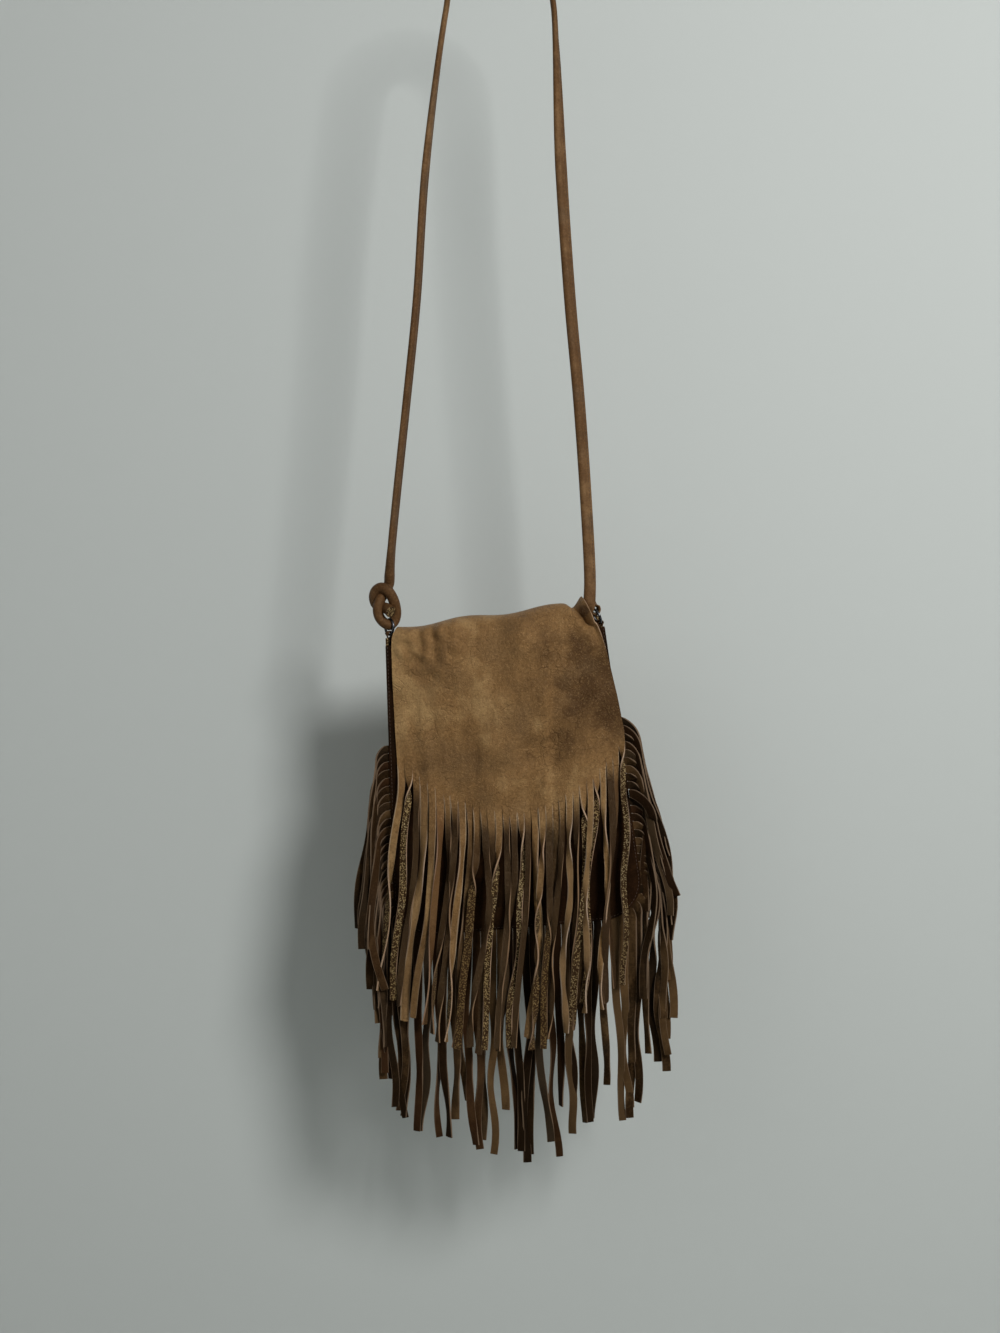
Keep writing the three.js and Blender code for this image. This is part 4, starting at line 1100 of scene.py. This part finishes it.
def makeStrap():
    stations = strapStations()
    steps = strap["stepsPerStation"]
    line = throughPoints([s[0] for s in stations], steps)
    heading = unit(np.gradient(line, axis=0))
    carried = []
    wide = upZ
    for h in heading:
        wide = unit(wide - h * np.dot(wide, h))
        carried.append(wide)
    turns = []
    for n, (_, facing, _, _) in enumerate(stations):
        if facing is None:
            continue
        k = min(n * steps, len(line) - 1)
        thick = np.cross(heading[k], carried[k])
        turn = math.atan2(np.dot(facing, thick), np.dot(facing, carried[k]))
        last = turns[-1][1] if turns else 0
        turns.append((k, turn - round((turn - last) / math.pi) * math.pi))
    knots = [0] + [k for k, _ in turns]
    angles = np.interp(np.arange(len(line)), knots, [0] + [t for _, t in turns])
    wide = np.array([turnAbout(c, h, t) for c, h, t in zip(carried, heading, angles)])
    thick = np.cross(heading, wide)
    at = np.arange(len(line)) / steps
    index = np.arange(len(stations))
    width = np.interp(at, index, [s[2] for s in stations])
    thickness = np.interp(at, index, [s[3] for s in stations])
    rolled = np.interp(at, index, [1.0 if s[2] == strap["width"] else 0.0 for s in stations])
    section = np.array([strapSection(w, t, r) for w, t, r in zip(width, thickness, rolled)])
    piece = sweep("strap_roll", line, wide, thick, section, [strapLeather, flesh], 0.5, 1)
    return piece, line, wide, thick, width, thickness, rolled


strapRoll, strapLine, strapWide, strapThick, strapWidths, strapThicknesses, strapRolled = makeStrap()
print("strap made,", len(strapRoll.data.polygons), "faces")


# sewing: stitches laid along guide lines
def stitchTree():
    # lays a bead of thread along each guide line at every stitch
    sizes = {"Pitch": 3.2 * mm, "Stitch Length": 2.3 * mm, "Thread": 0.55 * mm, "Uneven": 0.12}
    tree, given = newTree("stitches along guides", sizes, "Yarn")
    lines = add(tree, "GeometryNodeMeshToCurve", Mesh=given["Geometry"]).outputs[0]
    spots = add(tree, "GeometryNodeCurveToPoints", {"mode": "LENGTH"}, Curve=lines,
                Length=given["Pitch"]).outputs
    bead = add(tree, "GeometryNodeMeshIcoSphere", Radius=0.5, Subdivisions=2).outputs[0]
    size = add(tree, "ShaderNodeCombineXYZ", X=given["Thread"], Y=given["Thread"],
               Z=given["Stitch Length"]).outputs[0]
    wobble = add(tree, "FunctionNodeRandomValue", {"data_type": "FLOAT_VECTOR"}, Min=(-1, -1, -1),
                 Max=(1, 1, 1), Seed=4).outputs[0]
    scaled = add(tree, "ShaderNodeVectorMath", {"operation": "SCALE"}, Vector=wobble,
                 Scale=given["Uneven"]).outputs[0]
    tipped = add(tree, "FunctionNodeEulerToRotation", Euler=scaled).outputs[0]
    turned = add(tree, "FunctionNodeRotateRotation", Rotation=spots["Rotation"], Rotate_By=tipped).outputs[0]
    laid = add(tree, "GeometryNodeInstanceOnPoints", Points=spots["Points"], Instance=bead, Rotation=turned,
               Scale=size).outputs[0]
    finishTree(tree, laid, given["Yarn"])
    return tree


stitchNodes = stitchTree()


# for each kind of row: from stitch to stitch, a stitch's length and the thread's thickness
sewing = {"seam": (3.6, 2.6, 0.55), "strap": (3.1, 2.0, 0.6), "lift": 0.12,
          "strapAcross": 0.31, "strapLift": 0.1}


def sew(name, lines, kind):
    pitch, length, yarn = sewing[kind]
    return grow(newLines(name, lines), stitchNodes, {
        "Pitch": pitch * mm, "Stitch Length": length * mm, "Thread": yarn * mm, "Yarn": thread})


def seamStitches():
    # one row along the front's seam and one along the back's
    spots, ways = seamPoints(bag["mouthDip"] + 2, bag["mouthDip"] + 2, 3)
    inner = spots - ways * bag["seam"] * 0.5
    across, down = inner[:, 0], inner[:, 1]
    full = fullness(np.abs(across) / halfWidth(down), down)
    out = bag["hide"] / 2 + sewing["lift"]
    front = place(across, frontY - out - bag["frontSwell"] * full, down)
    back = place(across, backY + out + bag["backSwell"] * full, down)
    return sew("seam_stitches", [front, back], "seam")


def strapStitches():
    # a row on each side of the strap's flat sewn edge
    keep = strapRolled > 0.6
    across = strapWidths * sewing["strapAcross"]
    up = strapThicknesses * strap["flange"] + sewing["strapLift"]
    lines = []
    for sign in (1, -1):
        line = strapLine + strapWide * across[:, None] + strapThick * (sign * up)[:, None]
        lines.append(line[keep])
    return sew("strap_stitches", lines, "strap")


seamThread = seamStitches()
strapThread = strapStitches()
print("sewing done")

# riding and replacing: each piece rides the root and hides the solids it stands for; the finish listed with
# it is not used
worn = [
    (flapAndBack, "suede", ["back_and_flap"]), (pouchFront, "suede", ["front_panel"]),
    (gussetStrip, "dark_suede", ["gusset"]), (fringeStrips, "dark_suede", ["pouch_fringe"]),
    (fringeBand, "dark_suede", []), (leftTab, "dark_suede", ["left_tab"]),
    (rightTab, "dark_suede", ["right_tab"]),
    (leftRing, "gunmetal", ["left_ring"]), (rightRing, "gunmetal", ["right_ring"]),
    (strapRoll, "strap_leather", ["shoulder_strap"]), (seamThread, "dark_suede", []),
    (strapThread, "strap_leather", []),
]
for piece, finish, nodes in worn:
    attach(piece, "root")
    if nodes:
        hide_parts(*nodes)


# wall, floor and light
stageLook = {"wallY": 0.16, "wallHalf": 1.3, "wallTop": 0.7, "floor": -1.62, "floorHalf": 2.6,
             "colour": (0.50, 0.525, 0.505)}


def stageMaterial():
    # pale, and clear when seen from behind, so that the wall hides nothing
    material, tree, shader = newMaterial("pale_wall")
    feed(shader.inputs["Base Color"], stageLook["colour"])
    feed(shader.inputs["Roughness"], 0.9)
    mixed = add(tree, "ShaderNodeMixShader")
    clear = add(tree, "ShaderNodeBsdfTransparent")
    behind = add(tree, "ShaderNodeNewGeometry").outputs["Backfacing"]
    for at, value in enumerate((behind, shader.outputs[0], clear.outputs[0])):
        feed(mixed.inputs[at], value)
    out = next(node for node in tree.nodes if node.type == "OUTPUT_MATERIAL")
    feed(out.inputs["Surface"], mixed.outputs[0])
    return material


def flatStage(name, corners):
    mesh = bpy.data.meshes.new(name)
    mesh.from_pydata(corners, [], [(0, 1, 2, 3)])
    mesh.materials.append(pale)
    piece = bpy.data.objects.new(name, mesh)
    scene.collection.objects.link(piece)
    return piece


pale = stageMaterial()
wallHalf, wallY, wallTop, floorZ, floorHalf = (
    stageLook[key] for key in ("wallHalf", "wallY", "wallTop", "floor", "floorHalf"))
flatStage("wall", [(-wallHalf, wallY, floorZ), (wallHalf, wallY, floorZ),
                   (wallHalf, wallY, wallTop), (-wallHalf, wallY, wallTop)])
flatStage("floor", [(x * floorHalf, y * floorHalf, floorZ) for x, y in ((-1, -1), (1, -1), (1, 1), (-1, 1))])


def lamp(name, spot, aim, size, power):
    light = bpy.data.lights.new(name, "AREA")
    light.shape = "DISK"
    light.size = size
    light.energy = power
    item = bpy.data.objects.new(name, light)
    item.location = spot
    way = unit(np.array(aim, float) - np.array(spot, float))
    item.rotation_euler = Vector(way).to_track_quat("-Z", "Y").to_euler()
    scene.collection.objects.link(item)
    return item


lamp("key", (1.25, -2.0, 0.45), (0.05, 0, -0.7), 0.8, 54)
lamp("fill", (-1.6, -1.8, 0.2), (0, 0, -0.8), 1.4, 5)
lamp("back", (-0.6, 2.2, 0.2), (0, 0, -0.8), 1.4, 16)
world = bpy.data.worlds.new("room")
world.use_nodes = True
world.node_tree.nodes["Background"].inputs[0].default_value = (0.62, 0.64, 0.63, 1)
world.node_tree.nodes["Background"].inputs[1].default_value = 0.31
scene.world = world
scene.view_settings.view_transform = "Standard"
